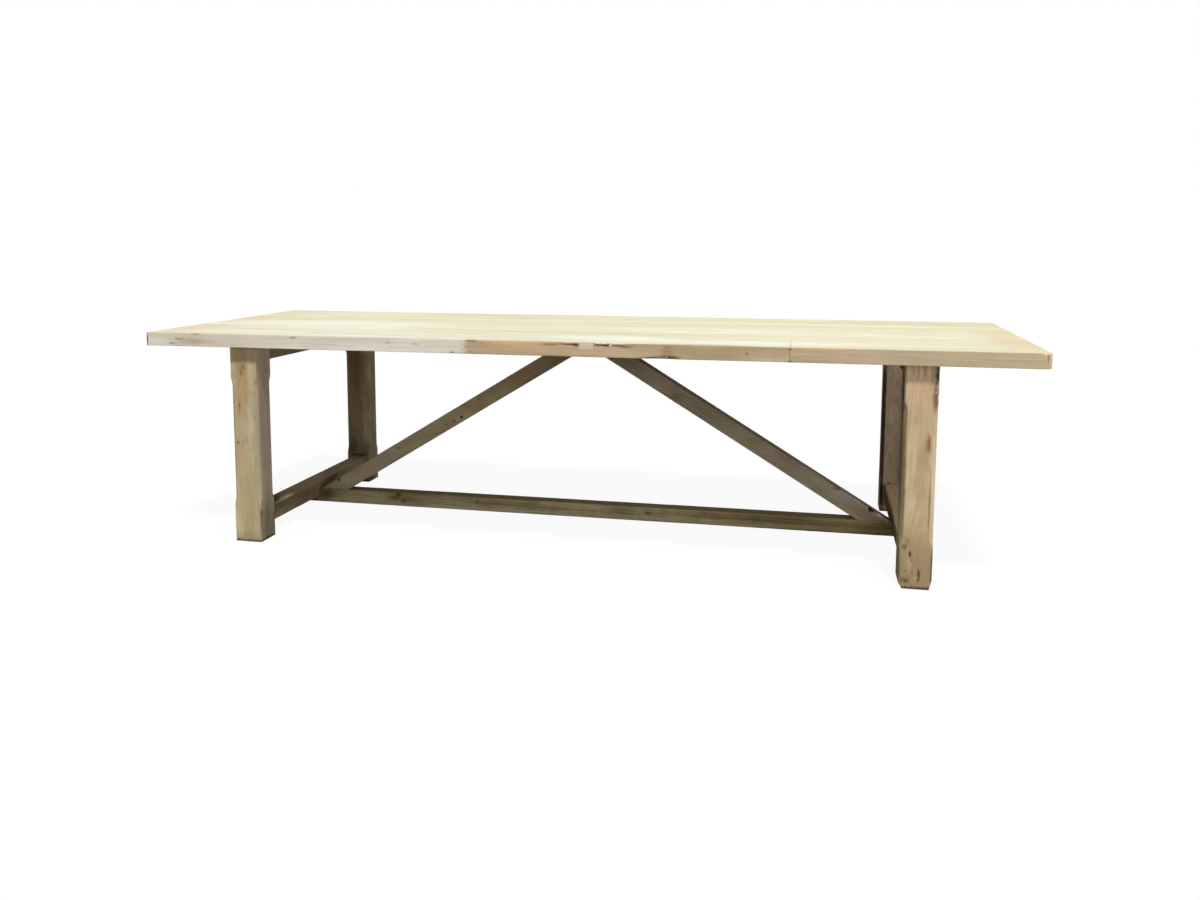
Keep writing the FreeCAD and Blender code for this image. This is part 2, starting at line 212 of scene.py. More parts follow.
def timber_tree():
    """A squared timber along X with worn arrises, stopped chamfers, end tenons and wavering faces."""
    tree, given = tree_with("worn_timber", TIMBER_INPUTS)
    size = add(tree, COMBINE, {0: given["Length"], 1: given["Width"], 2: given["Depth"]})
    half = add(tree, VECTOR_MATH, {0: size, "Scale": 0.5}, operation="SCALE")
    counts = {"Vertices X": given["Rows"], "Vertices Y": given["Columns"], "Vertices Z": given["Layers"]}
    cube = add(tree, "GeometryNodeMeshCube", {"Size": (2, 2, 2), **counts})
    # rows crowd towards the arrises, where the wear is
    spot = add(tree, "GeometryNodeInputPosition")
    out_share = add(tree, VECTOR_MATH, {0: spot}, operation="ABSOLUTE")
    in_share = add(tree, VECTOR_MATH, {0: (1, 1, 1), 1: out_share}, operation="SUBTRACT")
    in_share = add(tree, VECTOR_MATH, {0: in_share, 1: (0, 0, 0)}, operation="MAXIMUM")
    crowded = add(tree, VECTOR_MATH, {0: in_share, 1: ROW_CROWDING}, operation="POWER")
    reach = add(tree, VECTOR_MATH, {0: (1, 1, 1), 1: crowded}, operation="SUBTRACT")
    side = add(tree, VECTOR_MATH, {0: spot}, operation="SIGN")
    signed = add(tree, VECTOR_MATH, {0: reach, 1: side}, operation="MULTIPLY")
    square = add(tree, VECTOR_MATH, {0: signed, 1: half}, operation="MULTIPLY")
    # the arris is rounded by a radius that changes along it
    wear_spot = add(tree, VECTOR_MATH, {0: square, 1: WEAR_PER_METRE}, operation="MULTIPLY")
    chance = add(tree, NOISE, {"Vector": wear_spot, "W": given["Seed"], "Scale": 1.0,
                               "Detail": WEAR_DETAIL}, noise_dimensions="4D")
    worst = add(tree, MATH, {0: given["Ease"], 1: given["Wear"]}, operation="ADD")
    limits = {"To Min": given["Ease"], "To Max": worst}
    radius = add(tree, MAP_RANGE, {"Value": chance, **WEAR_CHANCE, **limits})
    core_half = add(tree, VECTOR_MATH, {0: half, 1: radius}, operation="SUBTRACT")
    minus_half = add(tree, VECTOR_MATH, {0: core_half, "Scale": -1.0}, operation="SCALE")
    raised = add(tree, VECTOR_MATH, {0: square, 1: minus_half}, operation="MAXIMUM")
    core = add(tree, VECTOR_MATH, {0: raised, 1: core_half}, operation="MINIMUM")
    beyond = add(tree, VECTOR_MATH, {0: square, 1: core}, operation="SUBTRACT")
    outward = add(tree, VECTOR_MATH, {0: beyond}, operation="NORMALIZE")
    rounded = add(tree, VECTOR_MATH, {0: outward, 1: radius, 2: core}, operation="MULTIPLY_ADD")
    # stopped chamfers cut the four long arrises between two stops
    parts = add(tree, SEPARATE, {0: rounded}).outputs
    from_start = add(tree, MATH, {0: parts["X"], 1: given["Chamfer Start"]}, operation="SUBTRACT")
    to_end = add(tree, MATH, {0: given["Chamfer End"], 1: parts["X"]}, operation="SUBTRACT")
    nearer = add(tree, MATH, {0: from_start, 1: to_end}, operation="MINIMUM")
    run_share = add(tree, MATH, {0: nearer, 1: given["Chamfer Run"]}, operation="DIVIDE", use_clamp=True)
    setback = add(tree, MATH, {0: run_share, 1: given["Chamfer"]}, operation="MULTIPLY")
    half_parts = add(tree, SEPARATE, {0: half}).outputs
    corner = add(tree, MATH, {0: half_parts["Y"], 1: half_parts["Z"]}, operation="ADD")
    limit = add(tree, MATH, {0: corner, 1: setback}, operation="SUBTRACT")
    wide = add(tree, MATH, {0: parts["Y"]}, operation="ABSOLUTE")
    deep = add(tree, MATH, {0: parts["Z"]}, operation="ABSOLUTE")
    spread = add(tree, MATH, {0: wide, 1: deep}, operation="ADD")
    excess = add(tree, MATH, {0: spread, 1: limit}, operation="SUBTRACT")
    cut = add(tree, MATH, {0: excess, 1: 0.0}, operation="MAXIMUM")
    # past its shoulders the timber is only as thick as its tenons
    far = add(tree, MATH, {0: parts["X"]}, operation="ABSOLUTE")
    is_tenon = add(tree, MATH, {0: far, 1: given["Shoulder"]}, operation="GREATER_THAN")
    section = {}
    for axis, whole, tenon in (("Y", "Width", "Tenon Width"), ("Z", "Depth", "Tenon Depth")):
        sign = add(tree, MATH, {0: parts[axis]}, operation="SIGN")
        inward = add(tree, MATH, {0: cut, 1: sign}, operation="MULTIPLY")
        halved = add(tree, MATH, {0: inward, 1: -0.5, 2: parts[axis]}, operation="MULTIPLY_ADD")
        share = add(tree, MATH, {0: given[tenon], 1: given[whole]}, operation="DIVIDE")
        slim = add(tree, MATH, {0: halved, 1: share}, operation="MULTIPLY")
        if axis == "Z":
            slim = add(tree, MATH, {0: slim, 1: given["Tenon Lift"]}, operation="ADD")
        section[axis] = add(tree, MIX, {0: is_tenon, 2: halved, 3: slim})
    shaped = add(tree, COMBINE, {0: parts["X"], 1: section["Y"], 2: section["Z"]})
    # faces of old timber are never quite flat
    waver_spot = add(tree, VECTOR_MATH, {0: square, 1: WAVER_PER_METRE}, operation="MULTIPLY")
    sway = add(tree, NOISE, {"Vector": waver_spot, "W": given["Seed"], "Scale": 1.0,
                             "Detail": WAVER_DETAIL}, noise_dimensions="4D").outputs["Color"]
    centred = add(tree, VECTOR_MATH, {0: sway, 1: MIDDLE}, operation="SUBTRACT")
    offset = add(tree, VECTOR_MATH, {0: centred, "Scale": given["Waver"]}, operation="SCALE")
    # how far a point of the surface was worn back, for the finish
    stretch = add(tree, VECTOR_MATH, {0: beyond}, operation="LENGTH").outputs["Value"]
    ratio = add(tree, MATH, {0: stretch, 1: radius}, operation="DIVIDE")
    worn = add(tree, MAP_RANGE, {"Value": ratio, **WORN_STRETCH})
    kept = add(tree, "GeometryNodeStoreNamedAttribute", {"Geometry": cube, "Name": "worn", "Value": worn})
    moved = add(tree, "GeometryNodeSetPosition", {"Geometry": kept, "Position": shaped, "Offset": offset})
    placed = add(tree, TRANSFORM, {"Geometry": moved, "Translation": given["Centre"],
                                   "Rotation": given["Turn"]})
    smooth = add(tree, "GeometryNodeSetShadeSmooth", {"Geometry": placed})
    real = add(tree, "GeometryNodeRealizeInstances", {"Geometry": smooth})
    dressed = add(tree, "GeometryNodeSetMaterial", {"Geometry": real, "Material": given["Material"]})
    add(tree, "NodeGroupOutput", {0: dressed})
    return tree


# Pegs and screws, set on points by Geometry Nodes
PEG_INPUTS = {
    "Points": "Geometry", "Diameter": "Float", "Length": "Float", "Proud": "Float", "Ease": "Float",
    "Seed": "Int", "Material": "Material",
}
SCREW_INPUTS = {
    "Points": "Geometry", "Seat Diameter": "Float", "Crown Diameter": "Float", "Head Height": "Float",
    "Shank Diameter": "Float", "Length": "Float", "Recess Width": "Float", "Recess Reach": "Float",
    "Recess Depth": "Float", "Seed": "Int", "Material": "Material",
}
PEG_SIDES = 20
PEG_RINGS = 3
HEAD_SIDES = 32
SHANK_SIDES = 16
SHANK_RINGS = 6
SECOND_BAR = (1.0, 1.0, 0.94)  # the recess's second bar is shallower, so that the two share no faces


def set_on_points(tree, given, shape):
    """Set a shape on every point, its Z along the point's way and turned by chance, as one plain mesh."""
    way = add(tree, "GeometryNodeInputNamedAttribute", {"Name": "way"}, data_type="FLOAT_VECTOR")
    upright = add(tree, "FunctionNodeAlignRotationToVector", {"Vector": way}, axis="Z")
    chance = add(tree, "FunctionNodeRandomValue", {3: 2 * math.pi, "Seed": given["Seed"]})
    twist = add(tree, "FunctionNodeAxisAngleToRotation", {"Axis": (0, 0, 1), "Angle": chance})
    turned = add(tree, "FunctionNodeRotateRotation", {0: upright, 1: twist}, rotation_space="LOCAL")
    placed = add(tree, "GeometryNodeInstanceOnPoints", {"Points": given["Points"], "Instance": shape,
                                                        "Rotation": turned})
    real = add(tree, "GeometryNodeRealizeInstances", {"Geometry": placed})
    dressed = add(tree, "GeometryNodeSetMaterial", {"Geometry": real, "Material": given["Material"]})
    add(tree, "NodeGroupOutput", {0: dressed})
    return tree


def peg_tree():
    """Round whittled pegs whose eased outer end stands a little proud of the point."""
    tree, given = tree_with("driven_pegs", PEG_INPUTS)
    radius = add(tree, MATH, {0: given["Diameter"], 1: 0.5}, operation="MULTIPLY")
    depth = add(tree, MATH, {0: given["Length"], 1: given["Proud"]}, operation="ADD")
    bar = add(tree, "GeometryNodeMeshCylinder", {"Vertices": PEG_SIDES, "Side Segments": PEG_RINGS,
                                                 "Fill Segments": PEG_RINGS, "Radius": radius,
                                                 "Depth": depth})
    # the two middle rings slide out to where the easing starts
    parts = add(tree, SEPARATE, {0: add(tree, "GeometryNodeInputPosition")}).outputs
    end = add(tree, MATH, {0: depth, 1: 0.5}, operation="MULTIPLY")
    eased_end = add(tree, MATH, {0: end, 1: given["Ease"]}, operation="SUBTRACT")
    height = add(tree, MATH, {0: parts["Z"]}, operation="ABSOLUTE")
    side = add(tree, MATH, {0: parts["Z"]}, operation="SIGN")
    is_end = add(tree, MATH, {0: height, 1: eased_end}, operation="GREATER_THAN")
    level = add(tree, MIX, {0: is_end, 2: eased_end, 3: end})
    slim = add(tree, MATH, {0: radius, 1: given["Ease"]}, operation="SUBTRACT")
    slim_share = add(tree, MATH, {0: slim, 1: radius}, operation="DIVIDE")
    width = add(tree, MIX, {0: is_end, 2: 1.0, 3: slim_share})
    z = add(tree, MATH, {0: level, 1: side}, operation="MULTIPLY")
    x = add(tree, MATH, {0: parts["X"], 1: width}, operation="MULTIPLY")
    y = add(tree, MATH, {0: parts["Y"], 1: width}, operation="MULTIPLY")
    drop = add(tree, MATH, {0: given["Proud"], 1: end}, operation="SUBTRACT")
    lowered = add(tree, MATH, {0: z, 1: drop}, operation="ADD")
    spot = add(tree, COMBINE, {0: x, 1: y, 2: lowered})
    shaped = add(tree, "GeometryNodeSetPosition", {"Geometry": bar, "Position": spot})
    smooth = add(tree, "GeometryNodeSetShadeSmooth", {"Geometry": shaped})
    return set_on_points(tree, given, smooth)


def screw_tree():
    """Screws with a crossed recess, whose crown is at the point and whose shank goes in behind it."""
    tree, given = tree_with("driven_screws", SCREW_INPUTS)
    seat = add(tree, MATH, {0: given["Seat Diameter"], 1: 0.5}, operation="MULTIPLY")
    crown = add(tree, MATH, {0: given["Crown Diameter"], 1: 0.5}, operation="MULTIPLY")
    head = add(tree, "GeometryNodeMeshCone", {"Vertices": HEAD_SIDES, "Radius Top": crown,
                                              "Radius Bottom": seat, "Depth": given["Head Height"]})
    bar = add(tree, COMBINE, {0: given["Recess Reach"], 1: given["Recess Width"], 2: given["Recess Depth"]})
    slot = add(tree, "GeometryNodeMeshCube", {"Size": bar})
    crossed = add(tree, TRANSFORM, {"Geometry": slot, "Rotation": (0, 0, math.pi / 2),
                                    "Scale": SECOND_BAR})
    cross = add(tree, "GeometryNodeMeshBoolean", {1: slot}, operation="UNION")
    tree.links.new(crossed.outputs[0], cross.inputs[1])
    lift = add(tree, COMBINE, {2: given["Head Height"]})
    raised = add(tree, TRANSFORM, {"Geometry": cross, "Translation": lift})
    cut = add(tree, "GeometryNodeMeshBoolean", {0: head, 1: raised}, operation="DIFFERENCE")
    shank_radius = add(tree, MATH, {0: given["Shank Diameter"], 1: 0.5}, operation="MULTIPLY")
    shank_length = add(tree, MATH, {0: given["Length"], 1: given["Head Height"]}, operation="SUBTRACT")
    shank = add(tree, "GeometryNodeMeshCone", {"Vertices": SHANK_SIDES, "Side Segments": SHANK_RINGS,
                                               "Radius Top": 0.0, "Radius Bottom": shank_radius,
                                               "Depth": shank_length})
    inward = add(tree, TRANSFORM, {"Geometry": shank, "Rotation": (math.pi, 0, 0)})
    both = add(tree, "GeometryNodeJoinGeometry", {0: cut})
    tree.links.new(inward.outputs[0], both.inputs[0])
    sink = add(tree, VECTOR_MATH, {0: lift, "Scale": -1.0}, operation="SCALE")
    seated = add(tree, TRANSFORM, {"Geometry": both, "Translation": sink})
    return set_on_points(tree, given, seated)


def applied(piece):
    """The piece's mesh as its modifiers make it. The modifiers are then removed."""
    depsgraph = bpy.context.evaluated_depsgraph_get()
    mesh = bpy.data.meshes.new_from_object(
        piece.evaluated_get(depsgraph), preserve_all_data_layers=True, depsgraph=depsgraph)
    piece.modifiers.clear()
    return mesh


def grow(tree, name, values, points=(), ways=()):
    """Run a tree with these input values, on points that each have a way, and keep a plain mesh."""
    start = bpy.data.meshes.new(name)
    start.from_pydata(points, [], [])
    if ways:
        attribute = start.attributes.new("way", "FLOAT_VECTOR", "POINT")
        attribute.data.foreach_set("vector", [part for way in ways for part in way])
    piece = in_scene(name, start)
    modifier = piece.modifiers.new("grow", "NODES")
    modifier.node_group = tree
    for item in tree.interface.items_tree:
        if item.in_out == "INPUT" and item.name in values:
            modifier[item.identifier] = values[item.name]
    grown = applied(piece)
    grown.materials.pop(index=0)  # the empty slot that comes before the tree's own material
    piece.data = grown
    bpy.data.meshes.remove(start)
    grown.name = name
    return piece


def stand_for(piece, node):
    """Let a piece ride with the table and stand for a CAD node."""
    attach(piece, "root")
    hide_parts(node)


worn_timber = timber_tree()
driven_pegs = peg_tree()
driven_screws = screw_tree()

# How finely each kind of timber is divided, and how its arrises are eased and worn
PLANK_MESH = {"row_spacing": 8 * MM, "columns": 22, "layers": 14, "ease": 0.9 * MM, "wear": 1.8 * MM}
FRONT_PLANK_MESH = {**PLANK_MESH, "row_spacing": 4 * MM}
BAR_MESH = {"row_spacing": 8 * MM, "columns": 16, "layers": 16, "ease": 1.5 * MM, "wear": 3 * MM}
STRETCHER_MESH = {**BAR_MESH, "row_spacing": 5 * MM}
RAIL_MESH = {**BAR_MESH, "row_spacing": 4 * MM}
POST_MESH = {**BAR_MESH, "row_spacing": 5.5 * MM, "columns": 31, "layers": 31}
FACE_WAVER = 0.8 * MM
NO_SHOULDER = 100.0  # past the end of any timber
POCKET_SIDES = 32
MERGE_DISTANCE = 0.01 * MM
PLACE_DIGITS = 4  # solids are sorted by their place in metres to this many digits


def grow_timber(timber, material, row_spacing, columns, layers, ease, wear, **shape):
    """One worn timber in its place. Chamfers and tenons are left out unless shape gives them."""
    values = {
        "Length": timber.size.x, "Width": timber.size.y, "Depth": timber.size.z,
        "Rows": round(timber.size.x / row_spacing), "Columns": columns, "Layers": layers,
        "Ease": ease, "Wear": wear, "Waver": FACE_WAVER, "Seed": timber.seed,
        "Chamfer": 0.0, "Chamfer Start": 0.0, "Chamfer End": 0.0, "Chamfer Run": 1.0,
        "Shoulder": NO_SHOULDER, "Tenon Width": 0.0, "Tenon Depth": 0.0, "Tenon Lift": 0.0,
        "Centre": timber.centre, "Turn": timber.turn, "Material": material,
    }
    values.update({name.replace("_", " ").title(): value for name, value in shape.items()})
    return grow(worn_timber, f"worn_{timber.name}", values)


# Shaping by hand after the timber is grown
def trim(piece, planes):
    """Saw a timber along planes, each a point and the normal of the side that falls away."""
    shape = bmesh.new()
    shape.from_mesh(piece.data)
    for point, normal in planes:
        everything = shape.verts[:] + shape.edges[:] + shape.faces[:]
        result = bmesh.ops.bisect_plane(
            shape, geom=everything, plane_co=point, plane_no=normal, clear_outer=True)
        sawn = [item for item in result["geom_cut"] if isinstance(item, bmesh.types.BMEdge)]
        for face in bmesh.ops.contextual_create(shape, geom=sawn)["faces"]:
            face.smooth = False
    bmesh.ops.recalc_face_normals(shape, faces=shape.faces[:])
    shape.to_mesh(piece.data)
    shape.free()


def carve(piece, cutter_shape):
    """Cut a shape out of a timber."""
    cutter_mesh = bpy.data.meshes.new("cutter")
    cutter_shape.to_mesh(cutter_mesh)
    cutter_shape.free()
    cutter_mesh.materials.append(piece.data.materials[0])
    cutter = in_scene("cutter", cutter_mesh)
    modifier = piece.modifiers.new("carve", "BOOLEAN")
    modifier.object = cutter
    modifier.operation = "DIFFERENCE"
    piece.data = applied(piece)
    bpy.data.objects.remove(cutter)
    bpy.data.meshes.remove(cutter_mesh)


def bore(piece, holes, diameter):
    """Bore round upright pockets into a timber, each from its seat to an end outside."""
    shape = bmesh.new()
    for x, y, seat, end in holes:
        made = bmesh.ops.create_cone(shape, cap_ends=True, segments=POCKET_SIDES, radius1=diameter / 2,
                                     radius2=diameter / 2, depth=abs(end - seat))
        bmesh.ops.translate(shape, verts=made["verts"], vec=(x, y, (seat + end) / 2))
    carve(piece, shape)


def notch(piece, low, high):
    """Chisel a square notch into a timber, between two corners."""
    shape = bmesh.new()
    made = bmesh.ops.create_cube(shape, size=1.0)
    bmesh.ops.scale(shape, verts=made["verts"], vec=high - low)
    bmesh.ops.translate(shape, verts=made["verts"], vec=(low + high) / 2)
    carve(piece, shape)


def dent(piece, dents):
    """Push worn hollows into a surface: each has a middle, radii and a push, all in millimetres."""
    places = np.empty(len(piece.data.vertices) * 3, np.float32)
    piece.data.vertices.foreach_get("co", places)
    places = places.reshape(-1, 3)
    for middle, radii, push in dents:
        away = (places - np.array(middle) * MM) / (np.array(radii) * MM)
        fall = np.clip(1.0 - (away ** 2).sum(axis=1), 0.0, 1.0)
        places += (fall[:, None] * np.array(push) * MM).astype(np.float32)
    piece.data.vertices.foreach_set("co", places.ravel())
    piece.data.update()


def islands(node):
    """The boxes of the separate solids in a CAD node."""
    shape = bmesh.new()
    shape.from_mesh(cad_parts[node].data)
    bmesh.ops.remove_doubles(shape, verts=shape.verts[:], dist=MERGE_DISTANCE)
    left = set(shape.verts)
    boxes = []
    while left:
        found = [left.pop()]
        # found grows as its vertices lead to others
        for vertex in found:
            for edge in vertex.link_edges:
                other = edge.other_vert(vertex)
                if other in left:
                    left.remove(other)
                    found.append(other)
        spots = np.array([vertex.co for vertex in found])
        boxes.append((Vector(spots.min(axis=0)), Vector(spots.max(axis=0))))
    shape.free()
    return sorted(boxes, key=lambda box: tuple(round(part, PLACE_DIGITS) for part in box[0]))


# Old wood: what every timber's finish shares
# Each noise has a length along the grain, one across it, and its detail
FIGURE_NOISES = {
    "tone": (700 * MM, 60 * MM, 4.0),
    "blush": (260 * MM, 70 * MM, 1.5),
    "sway": (900 * MM, 160 * MM, 2.0),
    "fibre": (160 * MM, 5 * MM, 5.0),  # drawn coarser than real fibres so that they show
    "check": (300 * MM, 5 * MM, 2.0),
    "smudge": (90 * MM, 45 * MM, 4.0),
    "grit": (22 * MM, 9 * MM, 3.0),
}
# The noise at which a tone starts to show, and at which it shows fully
FIGURE_RANGES = {"tone": (0.38, 0.62), "blush": (0.48, 0.64), "check": (0.70, 0.76), "smudge": (0.46, 0.68)}
SWAY_REACH = 45 * MM
GRIT_REACH = 9 * MM
KNOT_CORE = 3.9 * MM
KNOT_RADIUS = 13 * MM
KNOT_BEND_RADIUS = 52 * MM
KNOT_BEND = 14 * MM
PLANK_KNOT_SPACING = 340 * MM
FRAME_KNOT_SPACING = 240 * MM
PLANK_RING_GAP = 8 * MM
FRAME_RING_GAP = 7 * MM
POST_RING_GAP = 4.5 * MM
RING_RAGGED_SHARE = 0.9
RING_TAPER = (0.03, 1.0, 1.0)  # how quickly rings follow each other along the grain and across it
RING_LINE = {"From Min": -0.4, "From Max": 1.0}
RING_FADE = {"From Min": 0.35, "From Max": 0.65, "To Min": 0.25, "To Max": 1.0}
POST_LEAN = -0.05  # radians
SEED_STEP = (3.7, 1.3, 2.1)  # metres of noise between one timber and the next


def wood_figure(tree, timber, ring_gap, knot_spacing):
    """The figure of one timber, read along its own length: tones, rings, fibres, checks and knots."""
    spot = add(tree, "ShaderNodeTexCoord").outputs["Object"]
    lie = {"Location": timber.centre, "Rotation": timber.turn}
    own = add(tree, "ShaderNodeMapping", {"Vector": spot, **lie}, vector_type="TEXTURE")
    shift = [step * timber.seed for step in SEED_STEP]
    chance = add(tree, VECTOR_MATH, {0: own, 1: shift}, operation="ADD")
    noise = {}
    for name, (along, across, detail) in FIGURE_NOISES.items():
        scaled = add(tree, VECTOR_MATH, {0: chance, 1: (along, across, across)}, operation="DIVIDE")
        noise[name] = add(tree, NOISE, {"Vector": scaled, "Scale": 1.0, "Detail": detail})
    grit = add(tree, VECTOR_MATH, {0: noise["grit"].outputs["Color"], 1: MIDDLE}, operation="SUBTRACT")
    # knots sit in a sparse random lattice, and the rings bend round them
    gritty = add(tree, VECTOR_MATH, {0: grit, 1: (GRIT_REACH,) * 3, 2: chance}, operation="MULTIPLY_ADD")
    cell = add(tree, "ShaderNodeTexVoronoi", {"Vector": gritty, "Scale": 1 / knot_spacing})
    knot_far = add(tree, MATH, {0: cell, 1: knot_spacing}, operation="MULTIPLY")
    knot = add(tree, MAP_RANGE, {"Value": knot_far, "From Min": KNOT_RADIUS, "From Max": KNOT_CORE},
               interpolation_type="SMOOTHSTEP")
    swirl = add(tree, MAP_RANGE, {"Value": knot_far, "From Min": KNOT_BEND_RADIUS, "From Max": 0.0,
                                  "To Max": KNOT_BEND}, interpolation_type="SMOOTHERSTEP")
    # rings: the distance from a pith that lies beside the timber and sways along it
    swayed = add(tree, VECTOR_MATH, {0: noise["sway"].outputs["Color"], 1: MIDDLE}, operation="SUBTRACT")
    bent = add(tree, VECTOR_MATH, {0: swayed, 1: (SWAY_REACH,) * 3, 2: own}, operation="MULTIPLY_ADD")
    if timber.turn == ALONG_Z:
        # a post's heart leans back from its length, so that its front shows tall arches
        bent = add(tree, "ShaderNodeVectorRotate", {"Vector": bent, "Angle": POST_LEAN},
                   rotation_type="Z_AXIS")
    from_pith = add(tree, VECTOR_MATH, {0: bent, 1: RING_TAPER, 2: -timber.heart()},
                    operation="MULTIPLY_ADD")
    radius = add(tree, VECTOR_MATH, {0: from_pith}, operation="LENGTH").outputs["Value"]
    grown = add(tree, MATH, {0: radius, 1: swirl}, operation="ADD")
    ragged = ring_gap * RING_RAGGED_SHARE
    roughened = add(tree, MATH, {0: noise["fibre"], 1: ragged, 2: grown}, operation="MULTIPLY_ADD")
    turn = add(tree, MATH, {0: roughened, 1: 2 * math.pi / ring_gap}, operation="MULTIPLY")
    wave = add(tree, MATH, {0: turn}, operation="SINE")
    rings = add(tree, MAP_RANGE, {"Value": wave, **RING_LINE}, interpolation_type="SMOOTHSTEP")
    # rings fade in and out along the surface, as they do on wood that was rubbed down
    fade = add(tree, MAP_RANGE, {"Value": noise["smudge"], **RING_FADE})
    figure = {"spot": spot, "grit": grit, "fibre": noise["fibre"], "knot": knot}
    figure["ring"] = add(tree, MATH, {0: rings, 1: fade}, operation="MULTIPLY")
    for name, (low, high) in FIGURE_RANGES.items():
        figure[name] = add(tree, MAP_RANGE, {"Value": noise[name], "From Min": low, "From Max": high})
    return figure


@dataclass
class Palette:
    """The colours of one wood: pale and deep tones, a warm blush, a dull smudge, rings and knots."""
    pale: str
    deep: str
    blush: str
    smudge: str
    ring: str
    knot: str
    ring_share: float = 0.35
    blush_share: float = 0.6
    smudge_share: float = 0.4
    knot_share: float = 1.0


def toned(tree, figure, palette):
    """A palette laid over the figure."""
    colour = add(tree, MIX, {0: figure["tone"], 6: linear(palette.pale), 7: linear(palette.deep)},
                 data_type="RGBA")
    for name in ("blush", "smudge", "ring", "knot"):
        share = getattr(palette, f"{name}_share")
        strength = add(tree, MATH, {0: figure[name], 1: share}, operation="MULTIPLY")
        over = linear(getattr(palette, name))
        colour = add(tree, MIX, {0: strength, 6: colour, 7: over}, data_type="RGBA")
    return colour


MARK_RAGGED = 28 * MM
CRISP_RAGGED = 4 * MM
RAGGED_SHARE = 1.2  # the most that an edge strays, as a share of the mark's radius
MARK_STREAK = {"From Min": 0.36, "From Max": 0.56, "To Min": 0.5, "To Max": 1.0}
# How a mark fades, by the distance from its middle in radii
CRISP_FADE = {"From Min": 1.05, "From Max": 0.9}
SOFT_FADE = {"From Min": 1.3, "From Max": 0.3}


@dataclass
class Mark:
    """A stain, hole or scar, or a patch of painted light or shade: colour and strength, and its middle and
    radii in the table's millimetres.
    """
    colour: str
    strength: float
    place: tuple
    radii: tuple
    crisp: bool = False  # a patch with straight sides, such as filler


def strip(colour, strength, start, end, radii, count):
    """Marks set close together along a line, such as a painted highlight along an arris."""
    places = [Vector(start).lerp(Vector(end), step / (count - 1)) for step in range(count)]
    return [Mark(colour, strength, tuple(place), radii) for place in places]


def marks_on(node, marks):
    """Those of some marks that reach into a CAD node's box."""
    low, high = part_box(node)

    def reaches(mark):
        place, radii = Vector(mark.place) * MM, Vector(mark.radii) * MM
        return all(low[axis] - radii[axis] < place[axis] < high[axis] + radii[axis] for axis in range(3))

    return [mark for mark in marks if reaches(mark)]


def marked(tree, figure, colour, marks):
    """Marks laid over a colour, ragged at their edges and streaked by the fibres."""
    streak = add(tree, MAP_RANGE, {"Value": figure["fibre"], **MARK_STREAK})
    for mark in marks:
        place = [part * MM for part in mark.place]
        radii = [radius * MM for radius in mark.radii]
        most = CRISP_RAGGED if mark.crisp else MARK_RAGGED
        ragged = [min(most, RAGGED_SHARE * radius) for radius in radii]
        strayed = add(tree, VECTOR_MATH, {0: figure["grit"], 1: ragged, 2: figure["spot"]},
                      operation="MULTIPLY_ADD")
        away = add(tree, VECTOR_MATH, {0: strayed, 1: place}, operation="SUBTRACT")
        scaled = add(tree, VECTOR_MATH, {0: away, 1: radii}, operation="DIVIDE")
        if mark.crisp:
            sides = add(tree, VECTOR_MATH, {0: scaled}, operation="ABSOLUTE")
            parts = add(tree, SEPARATE, {0: sides}).outputs
            flat = add(tree, MATH, {0: parts["X"], 1: parts["Y"]}, operation="MAXIMUM")
            far = add(tree, MATH, {0: flat, 1: parts["Z"]}, operation="MAXIMUM")
            share = add(tree, MAP_RANGE, {"Value": far, **CRISP_FADE, "To Max": mark.strength})
        else:
            far = add(tree, VECTOR_MATH, {0: scaled}, operation="LENGTH").outputs["Value"]
            inside = add(tree, MAP_RANGE, {"Value": far, **SOFT_FADE, "To Max": mark.strength},
                         interpolation_type="SMOOTHSTEP")
            share = add(tree, MATH, {0: inside, 1: streak}, operation="MULTIPLY")
        colour = add(tree, MIX, {0: share, 6: colour, 7: linear(mark.colour)}, data_type="RGBA")
    return colour


END_GRAIN = "8F7757"
END_GRAIN_FACING = {"From Min": 0.75, "From Max": 0.95, "To Max": 0.55}  # how square to the grain a cut is
UPWARD_FACING = {"From Min": 0.5, "From Max": 0.8}
FIBRE_STREAK = {"From Min": 0.25, "From Max": 0.75, "To Min": 0.91, "To Max": 1.07}
DRY_ROUGHNESS = {"To Min": 0.72, "To Max": 0.9}
CHECK_RELIEF = -0.6
RING_RELIEF = 0.3
GRAIN_BUMP = {"Strength": 0.35, "Distance": 1 * MM}


def facing_up(tree, most=1.0):
    """Nought on faces that look sideways or down, and most on those that look up."""
    normal = add(tree, "ShaderNodeNewGeometry").outputs["Normal"]
    upward = add(tree, SEPARATE, {0: normal}).outputs["Z"]
    return add(tree, MAP_RANGE, {"Value": upward, **UPWARD_FACING, "To Max": most})


